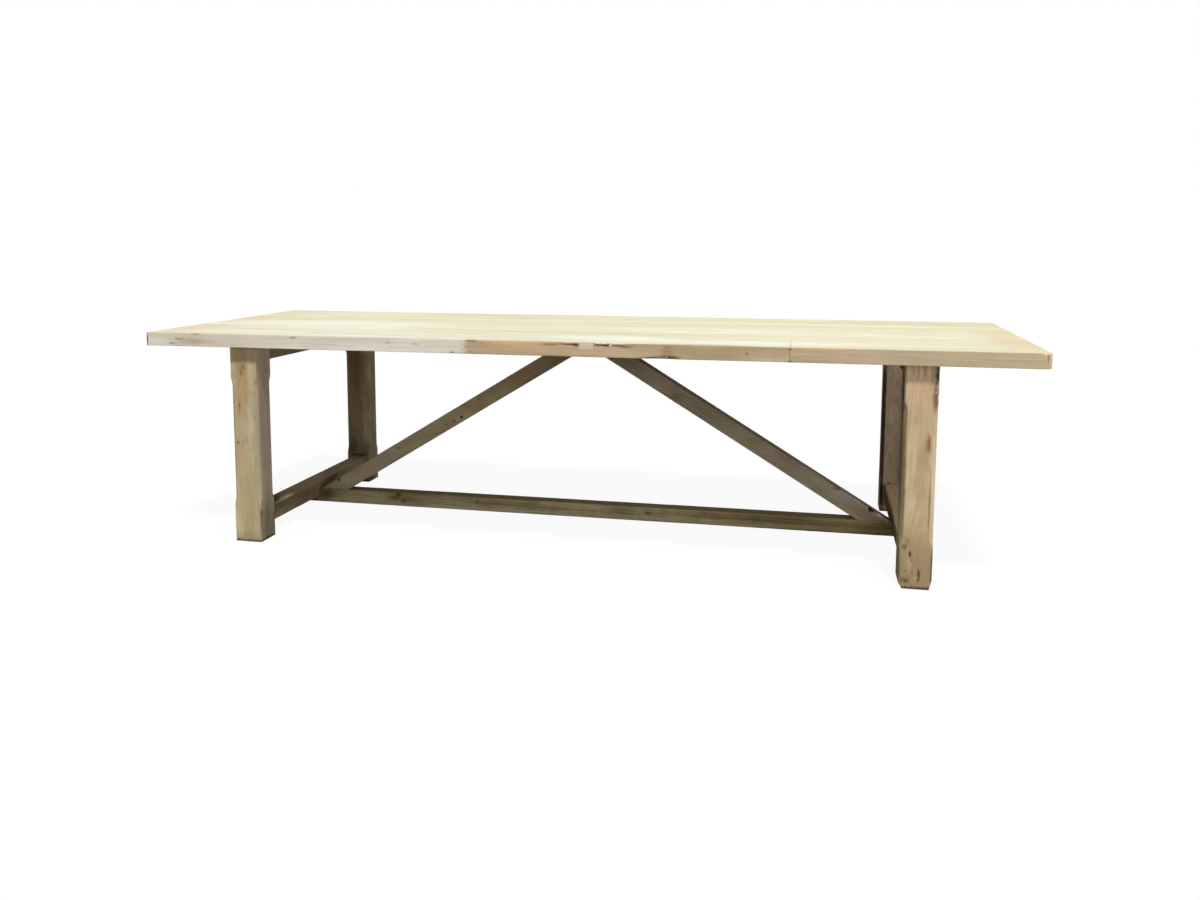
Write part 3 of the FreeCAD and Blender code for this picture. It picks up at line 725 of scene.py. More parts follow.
def wood_surface(tree, figure, timber, colour, worn_colour, worn_share, check_colour, sheen):
    """Checks, worn arrises and dark end grain over a colour, on a dry surface that follows the fibres."""
    normal = add(tree, "ShaderNodeNewGeometry").outputs["Normal"]
    along = Euler(timber.turn).to_matrix() @ Vector((1, 0, 0))
    squareness = add(tree, VECTOR_MATH, {0: normal, 1: along}, operation="DOT_PRODUCT").outputs["Value"]
    either_end = add(tree, MATH, {0: squareness}, operation="ABSOLUTE")
    end_grain = add(tree, MAP_RANGE, {"Value": either_end, **END_GRAIN_FACING})
    colour = add(tree, MIX, {0: end_grain, 6: colour, 7: linear(END_GRAIN)}, data_type="RGBA")
    attribute = add(tree, "ShaderNodeAttribute", attribute_name="worn").outputs["Fac"]
    worn = add(tree, MATH, {0: attribute, 1: worn_share}, operation="MULTIPLY")
    rubbed = add(tree, MIX, {0: worn, 6: colour, 7: linear(worn_colour)}, data_type="RGBA")
    checked = add(tree, MIX, {0: figure["check"], 6: rubbed, 7: linear(check_colour)}, data_type="RGBA")
    streak = add(tree, MAP_RANGE, {"Value": figure["fibre"], **FIBRE_STREAK})
    streaked = add(tree, MIX, {0: 1.0, 6: checked, 7: streak}, data_type="RGBA", blend_type="MULTIPLY")
    rough = add(tree, MAP_RANGE, {"Value": figure["fibre"], **DRY_ROUGHNESS})
    furrow = add(tree, MATH, {0: figure["check"], 1: CHECK_RELIEF, 2: figure["fibre"]},
                 operation="MULTIPLY_ADD")
    relief = add(tree, MATH, {0: figure["ring"], 1: RING_RELIEF, 2: furrow}, operation="MULTIPLY_ADD")
    bump = add(tree, "ShaderNodeBump", {"Height": relief, **GRAIN_BUMP})
    surface = add(tree, PRINCIPLED, {"Base Color": streaked, "Roughness": rough, "Normal": bump,
                                     "Specular IOR Level": sheen})
    add(tree, "ShaderNodeOutputMaterial", {"Surface": surface})


def new_material(name):
    """An empty node material and its tree."""
    material = bpy.data.materials.new(name)
    material.use_nodes = True
    material.node_tree.nodes.clear()
    return material, material.node_tree


LIMED_FACE = Palette("F1F1DD", "E4E0C5", "EEE1C3", "EBEAD6", "DAD3B3", "CDB78C", 0.3, 0.45, 0.6)
BARE_EDGE = Palette("DAC6A4", "C0AB88", "DBB692", "B9AE92", "AD9468", "8A6844", 0.3, 0.55, 0.55)
LIMED_EDGE = Palette("FFFAEC", "F1E8D4", "F2E0C8", "E8E2D2", "CFC4AC", "A58C6C", 0.25, 0.5, 0.5)
LEFT_POST = Palette("DACAA2", "C0AC82", "D5B28A", "B7AB85", "A28C63", "705537", 0.33, 0.5, 0.5)
RIGHT_POST = Palette("E0CAA4", "C4AB84", "DFB995", "B8A982", "AE9064", "6E5436", 0.37, 0.5, 0.45)
LEFT_REAR_POST = Palette("C2AF8F", "968367", "BF9E83", "83765D", "837050", "594633", 0.45, 0.6, 0.6)
RIGHT_REAR_POST = Palette("D3BFA6", "A69379", "CBAC90", "9A8C75", "8E775D", "5D4834", 0.45, 0.5, 0.6)
LEFT_BRACE = Palette("CBBA96", "B3A17E", "C3A384", "A19370", "907956", "5D4834", 0.3, 0.45, 0.5)
RIGHT_BRACE = Palette("CDBFA4", "BBAE94", "C6AE94", "A59B84", "8F7B5F", "5D4934", 0.25, 0.5, 0.5)
STRETCHER_WOOD = Palette("E2CEA0", "AF9C6F", "CDAA7D", "968A62", "7D693C", "503D27", 0.55, 0.5, 0.55)
LEFT_RAIL = Palette("B5A586", "938368", "A8896C", "83785D", "7C6A4D", "4B3A25", 0.35, 0.45, 0.5)
RIGHT_RAIL = Palette("AE9B7E", "917E62", "A6896E", "80725B", "7E694D", "513D28", 0.35, 0.4, 0.5)
LIMED_WEAR = {"worn_colour": "BFA578", "worn_share": 0.45, "check_colour": "B09C78", "sheen": 0.25}
FRAME_WEAR = {"worn_colour": "D2C2A4", "worn_share": 0.3, "check_colour": "6E5A40"}
FRAME_SHEEN = 0.08
# how much the colour of upward faces shows: painted light on the rail tops, painted shade on the
# stretcher's and braces' tops
UPWARD_FACE_SHARE = 0.85
LIME_STRAY = 60 * MM
LIME_STARTS = 8 * MM
LIME_FULL = -12 * MM


def limed_plank(timber, tint, marks, lime_to=None):
    """Sanded old oak plank, limed white on its face: pale cream streaks above, bare tan edges around."""
    material, tree = new_material(f"limed_oak_{timber.name}")
    figure = wood_figure(tree, timber, PLANK_RING_GAP, PLANK_KNOT_SPACING)
    edge = toned(tree, figure, BARE_EDGE)
    if lime_to is not None:
        along = add(tree, SEPARATE, {0: figure["spot"]}).outputs["X"]
        stray = add(tree, SEPARATE, {0: figure["grit"]}).outputs["X"]
        strayed = add(tree, MATH, {0: stray, 1: LIME_STRAY, 2: along}, operation="MULTIPLY_ADD")
        limed = add(tree, MAP_RANGE, {"Value": strayed, "From Min": lime_to + LIME_STARTS,
                                      "From Max": lime_to + LIME_FULL})
        pale_edge = toned(tree, figure, LIMED_EDGE)
        edge = add(tree, MIX, {0: limed, 6: edge, 7: pale_edge}, data_type="RGBA")
    face = add(tree, MIX, {0: 1.0, 6: toned(tree, figure, LIMED_FACE), 7: linear(tint)},
               data_type="RGBA", blend_type="MULTIPLY")
    colour = add(tree, MIX, {0: facing_up(tree), 6: edge, 7: face}, data_type="RGBA")
    wood_surface(tree, figure, timber, marked(tree, figure, colour, marks), **LIMED_WEAR)
    return material


def weathered_timber(timber, palette, marks, above=None, ring_gap=FRAME_RING_GAP, sheen=FRAME_SHEEN):
    """Old oak framing, weathered and rubbed down: grey tan with knots, checks and pale worn arrises."""
    material, tree = new_material(f"weathered_oak_{timber.name}")
    figure = wood_figure(tree, timber, ring_gap, FRAME_KNOT_SPACING)
    colour = toned(tree, figure, palette)
    if above is not None:
        # faces that look up take another colour: painted light on the lower rails' tops, painted shade on
        # the stretcher's and braces' tops under the table top
        facing = facing_up(tree, UPWARD_FACE_SHARE)
        colour = add(tree, MIX, {0: facing, 6: colour, 7: linear(above)}, data_type="RGBA")
    wood_surface(tree, figure, timber, marked(tree, figure, colour, marks), sheen=sheen, **FRAME_WEAR)
    return material


SPECKLE_DETAIL = 4.0
PEG_PORE = 2.5 * MM
PEG_BUMP = {"Strength": 0.4, "Distance": 0.5 * MM}
PEG_ROUGHNESS = 0.8
TARNISH_BLOTCH = 3 * MM
TARNISH_ROUGHNESS = {"To Min": 0.3, "To Max": 0.6}


def speckle(tree, size, pale, dark):
    """A fine noise with blotches of this size, and two colours mixed by it."""
    spot = add(tree, "ShaderNodeTexCoord").outputs["Object"]
    noise = add(tree, NOISE, {"Vector": spot, "Scale": 1 / size, "Detail": SPECKLE_DETAIL})
    return noise, add(tree, MIX, {0: noise, 6: linear(pale), 7: linear(dark)}, data_type="RGBA")


def riven_oak():
    """Riven oak pegs: browner than the frame, with short dark pores on the cut ends."""
    material, tree = new_material("riven_oak")
    pore, colour = speckle(tree, PEG_PORE, "C39E6C", "7E5C38")
    bump = add(tree, "ShaderNodeBump", {"Height": pore, **PEG_BUMP})
    surface = add(tree, PRINCIPLED, {"Base Color": colour, "Roughness": PEG_ROUGHNESS, "Normal": bump})
    add(tree, "ShaderNodeOutputMaterial", {"Surface": surface})
    return material


def dulled_steel():
    """Zinc-plated steel screws gone dull: grey metal with darker blotches of tarnish."""
    material, tree = new_material("dulled_steel")
    tarnish, colour = speckle(tree, TARNISH_BLOTCH, "C9C6BC", "77736A")
    rough = add(tree, MAP_RANGE, {"Value": tarnish, **TARNISH_ROUGHNESS})
    surface = add(tree, PRINCIPLED, {"Base Color": colour, "Roughness": rough, "Metallic": 1.0})
    add(tree, "ShaderNodeOutputMaterial", {"Surface": surface})
    return material


# Tabletop
EDGE_Y = cad_low.y / MM
FACE_Z = cad_high.z / MM
UNDER_Z = underside / MM
LIME_END = -308 * MM  # left of this the front edge is limed too
TOP_MARKS = [
    # scars, filler and knots along the front edge
    Mark("D3A674", 0.85, (-110, EDGE_Y, 749), (200, 14, 7)),
    Mark("E2BC92", 0.65, (-130, EDGE_Y, 732), (230, 40, 34)),
    Mark("B59A70", 0.60, (450, EDGE_Y, 727), (210, 40, 70)),
    Mark("C9B999", 0.45, (1230, EDGE_Y, 724), (380, 40, 60)),
    Mark("D9BCA0", 0.50, (940, EDGE_Y, 722), (130, 40, 30)),
    Mark("7E5C3A", 0.80, (-285, EDGE_Y, 747), (24, 30, 4)),
    Mark("F3EDDF", 0.80, (-345, EDGE_Y, 742), (48, 40, 14)),
    Mark("8F6E48", 0.75, (-20, EDGE_Y, 741), (30, 40, 5)),
    Mark("A07C54", 0.60, (20, EDGE_Y, 744), (60, 40, 3)),
    Mark("6B4628", 1.00, (44, EDGE_Y, 744), (26, 40, 5)),
    Mark("5A3A20", 1.00, (66, EDGE_Y, 743), (20, 40, 6)),
    Mark("54361E", 1.00, (142, EDGE_Y, 743), (22, 40, 5)),
    Mark("54361E", 1.00, (164, EDGE_Y, 742), (20, 40, 5)),
    Mark("7A5030", 0.95, (206, EDGE_Y, 743), (34, 40, 5)),
    Mark("8A6038", 0.70, (230, EDGE_Y, 738), (28, 40, 5)),
    Mark("DED2B4", 1.00, (102, EDGE_Y, 740), (24, 24, 13), crisp=True),
    Mark("E8DAC4", 0.95, (181, EDGE_Y, 742), (5, 40, 4)),
    Mark("A8825A", 0.80, (367, EDGE_Y, 724), (24, 40, 26)),
    Mark("4E3622", 1.00, (318, EDGE_Y, 706), (40, 40, 4)),
    Mark("5C3C22", 1.00, (376, EDGE_Y, 708), (30, 40, 7)),
    Mark("E8DAC4", 0.80, (362, EDGE_Y, 709), (4, 40, 3)),
    Mark("5E4830", 0.90, (614, EDGE_Y, 726), (5, 30, 4)),
    Mark("DCC8AC", 0.45, (-1260, EDGE_Y, 727), (250, 40, 60)),
    Mark("5C5246", 1.00, (-1500, EDGE_Y, 727), (7, 14, 44)),
    Mark("DDBFAA", 0.55, (-1275, EDGE_Y, 721), (60, 40, 12)),
    Mark("76665A", 0.80, (-1396, EDGE_Y, 713), (16, 30, 4)),
    Mark("8A7A66", 0.75, (-1369, EDGE_Y, 730), (20, 30, 4)),
    Mark("7A6A55", 0.65, (-1306, EDGE_Y, 747), (18, 30, 5)),
    Mark("5A4A38", 0.75, (-932, EDGE_Y, 743), (14, 30, 5)),
    Mark("B9A58C", 0.60, (-1330, EDGE_Y, 722), (60, 30, 16)),
    Mark("8B7D68", 0.45, (-581, EDGE_Y, 734), (12, 30, 7)),
    Mark("8B7D68", 0.45, (-485, EDGE_Y, 733), (26, 30, 5)),
    Mark("6E5A48", 0.90, (-354, EDGE_Y, 705), (9, 30, 5)),
    Mark("A0694C", 0.60, (745, EDGE_Y, 725), (2, 30, 26)),
    Mark("9A4F38", 0.90, (745, EDGE_Y, 743), (5, 30, 6)),
    Mark("8A4A36", 0.90, (745, EDGE_Y, 706), (6, 30, 5)),
    Mark("D9AE98", 0.80, (1496, EDGE_Y + 6, 727), (12, 14, 50)),
    Mark("6E5038", 0.95, (1487, EDGE_Y + 1, 738), (4, 14, 15)),
    # a painted highlight, a white glare where the top reflects the light, then lime that lies thicker in
    # the middle, and barer wood towards the ends
    Mark("FCFBF2", 0.75, (145, -390, FACE_Z), (230, 90, 30)),
    Mark("FBFAEE", 0.60, (-960, -110, FACE_Z), (420, 240, 30)),
    Mark("F8F5E2", 0.45, (-1080, 420, FACE_Z), (380, 130, 30)),
    Mark("FBF8EC", 0.60, (660, -440, FACE_Z), (330, 60, 30)),
    Mark("FBF8EC", 0.50, (1015, -80, FACE_Z), (70, 60, 30)),
    Mark("E6CB9C", 0.70, (1500, -160, FACE_Z), (150, 480, 30)),
    Mark("E9CDA8", 0.70, (-1490, -400, FACE_Z), (180, 200, 30)),
    Mark("E8CDA4", 0.55, (-1450, 110, FACE_Z), (130, 180, 30)),
    Mark("DDBE90", 0.60, (-130, EDGE_Y, FACE_Z), (170, 26, 12)),
    Mark("DDBE90", 0.50, (500, EDGE_Y, FACE_Z), (90, 20, 12)),
    Mark("DDBE90", 0.50, (830, EDGE_Y, FACE_Z), (70, 20, 12)),
]
BOARD_TINTS = ["FFFFFF", "FFFDF6", "FAF6EA", "FFFFFC", "F8F6EA", "FCFAF0", "F6F2E4"]
# chips and rubbed lengths of the front arris: middle, radii and push
FRONT_DENTS = [
    ((-160, EDGE_Y, FACE_Z), (140, 8, 8), (0, 1.0, -1.6)),
    ((50, EDGE_Y, FACE_Z), (26, 9, 9), (0, 1.6, -3.2)),
    ((150, EDGE_Y, FACE_Z), (22, 10, 12), (0, 2.2, -4.2)),
    ((206, EDGE_Y, FACE_Z), (26, 9, 10), (0, 1.6, -3.0)),
    ((-1306, EDGE_Y, FACE_Z), (16, 8, 8), (0, 1.5, -2.5)),
    ((-932, EDGE_Y, FACE_Z), (14, 8, 8), (0, 1.5, -3.0)),
    ((345, EDGE_Y, UNDER_Z), (42, 9, 9), (0, 1.5, 3.0)),
    ((-354, EDGE_Y, UNDER_Z), (10, 7, 7), (0, 1.0, 2.5)),
    ((1490, EDGE_Y, FACE_Z), (18, 14, 12), (0, 2.0, -4.0)),
]
CLIPPED_CORNER = 12 * MM
for node, tint in zip(BOARDS, BOARD_TINTS):
    timber = timbers[node]
    is_front = node in FRONT_BOARDS
    lime_end = LIME_END if node == FRONT_BOARDS[0] else None
    material = limed_plank(timber, tint, marks_on(node, TOP_MARKS), lime_end)
    piece = grow_timber(timber, material, **(FRONT_PLANK_MESH if is_front else PLANK_MESH))
    if is_front:
        dent(piece, FRONT_DENTS)
    if node == FRONT_BOARDS[1]:
        trim(piece, [((cad_high.x - CLIPPED_CORNER, cad_low.y, 0), (1, -1, 0))])
    stand_for(piece, node)

# Posts
CHAMFER = {"chamfer": 11 * MM, "chamfer_run": 29 * MM}
CHAMFER_ABOVE_FLOOR = 132 * MM
CHAMFER_BELOW_TOP = 106 * MM
LEG_PALETTES = dict(zip(LEGS, (LEFT_POST, RIGHT_POST, LEFT_REAR_POST, RIGHT_REAR_POST)))
POST_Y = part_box("leg_front_left")[0].y / MM
REAR_POST_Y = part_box("leg_back_left")[0].y / MM
LEG_MARKS = [
    # left front post: an orange stain under the top, painted shade just under the top, small knots, and
    # grey chamfers, the right-facing one partly painted light
    Mark("C8A888", 0.55, (-1140, POST_Y, 676), (60, 40, 40)),
    # painted shade: a dark band where the post meets the underside of the top
    Mark("6A5640", 0.75, (-1140, POST_Y, UNDER_Z), (70, 40, 9)),
    Mark("C29E6E", 0.60, (-1146, POST_Y, 560), (32, 40, 110)),
    Mark("B08458", 0.60, (-1145, POST_Y, 622), (22, 40, 26)),
    Mark("8A5C3C", 0.75, (-1140, POST_Y, 631), (7, 30, 12)),
    Mark("8A6244", 0.65, (-1150, POST_Y, 612), (5, 30, 12)),
    Mark("A6845C", 0.60, (-1160, POST_Y, 490), (7, 30, 40)),
    Mark("5A4630", 0.90, (-1159, POST_Y, 495), (4, 30, 7)),
    Mark("5A4630", 0.90, (-1102, POST_Y, 451), (4, 30, 7)),
    Mark("5A4630", 0.90, (-1169, POST_Y, 361), (5, 30, 6)),
    Mark("CFC08E", 0.60, (-1140, POST_Y, 260), (34, 40, 60)),
    # the right-facing chamfer is pale, partly as paler planed wood and partly as painted light where it
    # faces the light from the right
    Mark("B3A691", 0.95, (-1095, POST_Y + 2, 380), (17, 14, 280)),
    Mark("5A4630", 0.85, (-1091, POST_Y, 104), (2.5, 20, 18)),
    Mark("5E4C38", 0.70, (-1090, POST_Y, 60), (3, 8, 50)),
    Mark("A49288", 0.85, (-1090, POST_Y + 60, 400), (16, 60, 460)),
    Mark("5E5644", 0.80, (-1090, POST_Y + 60, 40), (14, 80, 135)),
    Mark("8A7C5C", 0.45, (-1140, POST_Y, 14), (60, 30, 26)),
    # right front post: streaks and old bark under the top, a brown smudge, painted light on its upper front
    # and right chamfer, and painted shade on its inner face and inner chamfer
    # partly the post's pinkish tone, partly painted light that lifts the shadow of the top
    Mark("E8CAA6", 0.75, (1140, POST_Y, 672), (56, 40, 40)),
    Mark("8A6E4C", 0.60, (1114, POST_Y, 694), (4, 40, 26)),
    Mark("86684A", 0.55, (1129, POST_Y, 690), (3, 40, 38)),
    Mark("7E6444", 0.60, (1147, POST_Y, 686), (6, 40, 30)),
    Mark("86664A", 0.60, (1170, POST_Y, 676), (4, 40, 44)),
    Mark("E0BA98", 0.60, (1136, POST_Y, 615), (48, 40, 46)),
    # the right-facing chamfer is pale, partly as pinkish wood and partly as painted light where it faces
    # the light
    Mark("E8C6AC", 0.95, (1188, POST_Y + 2, 350), (12, 12, 230)),
    # painted shade: the inner face and the inner chamfer, out of the light, are painted dark
    Mark("3A2814", 1.00, (1089, POST_Y + 62, 430), (9, 72, 330)),
    Mark("3A2814", 1.00, (1089, POST_Y + 50, 650), (9, 70, 110)),
    Mark("8C7850", 1.00, (1095, POST_Y + 6, 350), (10, 10, 260)),
    Mark("3E2A3A", 1.00, (1190, POST_Y, 660), (15, 60, 70)),
    Mark("6A4636", 0.90, (1182, POST_Y, 594), (11, 40, 42)),
    Mark("DCD4CC", 0.95, (1186, POST_Y, 638), (2.4, 60, 18)),
    Mark("DCD4CC", 0.95, (1187, POST_Y, 604), (1.6, 60, 16)),
    Mark("DCD4CC", 0.90, (1182, POST_Y, 620), (2, 60, 4)),
    Mark("B08A62", 0.50, (1163, POST_Y, 452), (14, 40, 50)),
    Mark("8A6040", 0.85, (1166, POST_Y, 458), (9, 40, 30)),
    Mark("7A5C40", 0.85, (1175, POST_Y, 266), (4, 40, 92)),
    Mark("B8A684", 0.60, (1140, POST_Y, 330), (22, 40, 60)),
    # its foot: knots, cracks and dirt
    Mark("A8946E", 1.00, (1135, POST_Y, 20), (90, 60, 170)),
    Mark("A3906C", 1.00, (1135, POST_Y, 20), (90, 60, 170)),
    Mark("8A7A52", 0.60, (1113, POST_Y, 152), (9, 30, 10)),
    Mark("54441F", 0.95, (1105, POST_Y, 134), (9, 30, 10)),
    Mark("A8966A", 0.95, (1105, POST_Y, 134), (4, 30, 5)),
    Mark("C4B288", 0.55, (1120, POST_Y, 84), (12, 30, 34)),
    Mark("44341C", 1.00, (1123, POST_Y, 111), (5, 30, 12)),
    Mark("66542E", 0.80, (1129, POST_Y, 92), (2.5, 30, 6)),
    Mark("C8B690", 0.60, (1141, POST_Y, 36), (8, 30, 9)),
    Mark("4E3C20", 1.00, (1151, POST_Y, 50), (6, 30, 19)),
    Mark("5A472A", 0.90, (1149, POST_Y, 30), (5, 30, 6)),
    Mark("6A5838", 0.80, (1131, POST_Y, 54), (3, 30, 3)),
    Mark("6A5838", 0.80, (1112, POST_Y, 58), (4, 30, 3)),
    Mark("66532F", 0.80, (1110, POST_Y, 28), (16, 30, 13)),
    Mark("4A381C", 0.80, (1112, POST_Y, 26), (6, 30, 5)),
    Mark("CBB994", 0.60, (1104, POST_Y, 10), (8, 30, 5)),
    Mark("463620", 1.00, (1190, POST_Y, 70), (6, 20, 80)),
    # painted shade: the lower part of the inner face is painted dark too
    Mark("3A3424", 0.90, (1090, POST_Y + 40, 60), (8, 70, 100)),
    # rear posts
    Mark("6E5038", 0.70, (-1145, REAR_POST_Y, 530), (50, 30, 160)),
    Mark("55555A", 0.60, (-1165, REAR_POST_Y, 165), (26, 30, 50)),
    Mark("3A2C1E", 0.80, (-1140, REAR_POST_Y, 122), (50, 30, 8)),
    Mark("4A4032", 0.55, (-1140, REAR_POST_Y, 145), (60, 30, 55)),
    Mark("443A28", 0.90, (-1120, REAR_POST_Y + 5, 20), (80, 60, 70)),
    # painted shade: the rear right post's inner face and its front inner chamfer are painted dark brown
    Mark("4E3E2A", 0.85, (1089, REAR_POST_Y + 55, 380), (9, 75, 360)),
    Mark("3A2C1C", 0.92, (1090, REAR_POST_Y + 8, 370), (11, 16, 360), crisp=True),
    Mark("EADACE", 0.55, (1140, REAR_POST_Y, 640), (60, 30, 130)),
    Mark("8A7458", 0.55, (1145, REAR_POST_Y, 190), (50, 30, 130)),
    Mark("4E3A24", 0.80, (1124, REAR_POST_Y, 112), (12, 12, 10)),
    # painted contact shade: a dark band round the foot of every post, where it meets the floor
    *[Mark("2A2012", 1.00, (timbers[node].centre.x / MM, timbers[node].centre.y / MM, 0), (200, 200, 11))
      for node in LEGS],
]
WORN_FOOT_CORNERS = [(1182, 1190, 32), (1102, 1090, 20)]  # x at the floor, x at the side and height
for node in LEGS:
    timber = timbers[node]
    marks = marks_on(node, LEG_MARKS)
    material = weathered_timber(timber, LEG_PALETTES[node], marks, ring_gap=POST_RING_GAP)
    piece = grow_timber(timber, material, **POST_MESH, **CHAMFER,
                        chamfer_start=CHAMFER_ABOVE_FLOOR - timber.centre.z,
                        chamfer_end=underside - CHAMFER_BELOW_TOP - timber.centre.z)
    if node == "leg_front_right":
        trim(piece, [((low_x * MM, 0, 0), (math.copysign(height, side_x - low_x), 0, -abs(side_x - low_x)))
                     for low_x, side_x, height in WORN_FOOT_CORNERS])
    stand_for(piece, node)

# Cross rails, with tenons that go into the posts
TENON_THICK = 28 * MM
TENON_SHOULDER = 10 * MM
HOUSED = 2 * MM  # how far a shoulder is let into the post or rail
POCKET_DIAMETER = 11.4 * MM
SCREW_SEAT_DIAMETER = 11 * MM
SCREW_HEAD_HEIGHT = 3.5 * MM


def screw_pockets(node, side, end):
    """Pockets for the screws on one side of the table's middle, from each head's seat to an end outside."""
    holes = []
    for low, high in islands(node):
        middle = (low + high) / 2
        seat = low.z + SCREW_HEAD_HEIGHT if end < low.z else high.z - SCREW_HEAD_HEIGHT
        if middle.x * side > 0:
            holes.append((middle.x, middle.y, seat, end))
    return holes


# the lower rails' tops are painted paler than their sides, as painted light from above, the right one most,
# and the right one is dark on its inner side
RAIL_TOP_LIGHT = {"lower_rail_right": "E4D0B2", "lower_rail_left": "B8A98E"}
RAIL_MARKS = [
    Mark("84704C", 1.00, (1103, 0, 70), (12, 900, 70)),
    # painted light: a pale pool on the front half of the right lower rail's top
    Mark("FFF4E2", 0.85, (1130, -200, 110), (40, 170, 20)),
    # the inner face of the right top rail, under the table top, is painted dark reddish brown: painted
    # shade with a reddish tone of its own
    Mark("4A2E16", 0.80, (1103, -300, 670), (10, 200, 50)),
    Mark("9A7A62", 0.75, (-1103, -250, 675), (12, 260, 60)),
    # painted shade: the front end of the left lower rail, where the key light falls, is painted darker
    Mark("5C503A", 0.95, (-1135, -345, 100), (60, 150, 50)),
    # painted shade: a dark reddish-brown patch beside the stretcher's joint, for the shaded cavity there
    Mark("6E4A34", 0.55, (-1105, 80, 92), (12, 70, 26)),
    Mark("6A5E46", 0.65, (-1104, -270, 84), (12, 190, 36)),
]
for node in TOP_RAILS + LOWER_RAILS:
    timber = timbers[node]
    palette = RIGHT_RAIL if timber.centre.x > 0 else LEFT_RAIL
    material = weathered_timber(timber, palette, marks_on(node, RAIL_MARKS), RAIL_TOP_LIGHT.get(node), sheen=0.0)
    piece = grow_timber(timber, material, **RAIL_MESH, shoulder=leg_inner_y + HOUSED,
                        tenon_width=TENON_THICK, tenon_depth=timber.size.z - 2 * TENON_SHOULDER)
    if node in TOP_RAILS:
        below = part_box(node)[0].z - POCKET_DIAMETER
        bore(piece, screw_pockets("top_screws", timber.centre.x, below), POCKET_DIAMETER)
    stand_for(piece, node)

# Stretcher, whose lower part runs on as a lap under each rail
lap_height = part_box("lower_rail_right")[0].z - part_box("stretcher")[0].z
BAR_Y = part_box("stretcher")[0].y / MM  # the front of the stretcher and of the braces
# painted shade: the stretcher's top face lies under the table top and is painted dark
STRETCHER_TOP_SHADE = "786A48"
STRETCHER_MARKS = [
    # painted shade: the laps under the rails are painted near black
    Mark("1E160C", 1.00, (-1135, 0, 38), (28, 60, 26)),
    Mark("1E160C", 1.00, (1135, 0, 38), (28, 60, 26)),
    # a broken dark knot, with pale wood to its left
    Mark("3A2C1C", 1.00, (-766, BAR_Y, 72), (14, 30, 9)),
    Mark("5A432A", 0.90, (-790, BAR_Y, 60), (34, 30, 7)),
    Mark("4A3622", 0.95, (-744, BAR_Y, 48), (14, 30, 10)),
    Mark("D2B48C", 0.70, (-835, BAR_Y, 60), (34, 30, 14)),
    # its front is palest along the lower half, with painted shade along its upper half on the right, under
    # the shaded top face, and on the arris below
    Mark("F0E2C0", 0.80, (-380, BAR_Y, 36), (620, 30, 15)),
    Mark("EEDFBA", 0.75, (480, BAR_Y, 38), (460, 30, 12)),
    Mark("DCC898", 0.55, (930, BAR_Y, 40), (240, 30, 12)),
    Mark("E4D4AC", 0.55, (-900, BAR_Y, 56), (120, 30, 26)),
    Mark("EADBB8", 0.60, (-560, BAR_Y, 58), (140, 30, 24)),
    # painted shade: the upper front on the right, widening the shaded band of the top face
    Mark("8C7A50", 0.55, (620, BAR_Y, 62), (520, 30, 12)),
    Mark("64543A", 0.85, (-1085, BAR_Y, 56), (58, 30, 40)),
    # painted shade: the lower arris on the right
    Mark("2E2416", 0.95, (900, BAR_Y, 25), (330, 30, 7)),
    Mark("6A5630", 0.70, (-441, BAR_Y, 62), (10, 30, 8)),
    Mark("6A5630", 0.70, (229, BAR_Y, 56), (14, 30, 8)),
]
timber = timbers["stretcher"]
material = weathered_timber(timber, STRETCHER_WOOD, STRETCHER_MARKS, STRETCHER_TOP_SHADE)
piece = grow_timber(timber, material, **STRETCHER_MESH, shoulder=rail_inner_x + HOUSED,
                    tenon_width=timber.size.y, tenon_depth=lap_height,
                    tenon_lift=(lap_height - timber.size.z) / 2)
stand_for(piece, "stretcher")

# Braces, sawn level under the top and on the stretcher, and plumb where they meet
POCKET_RUN = 3 * BRACE_DEPTH  # from the face that a brace stands against to past its other side
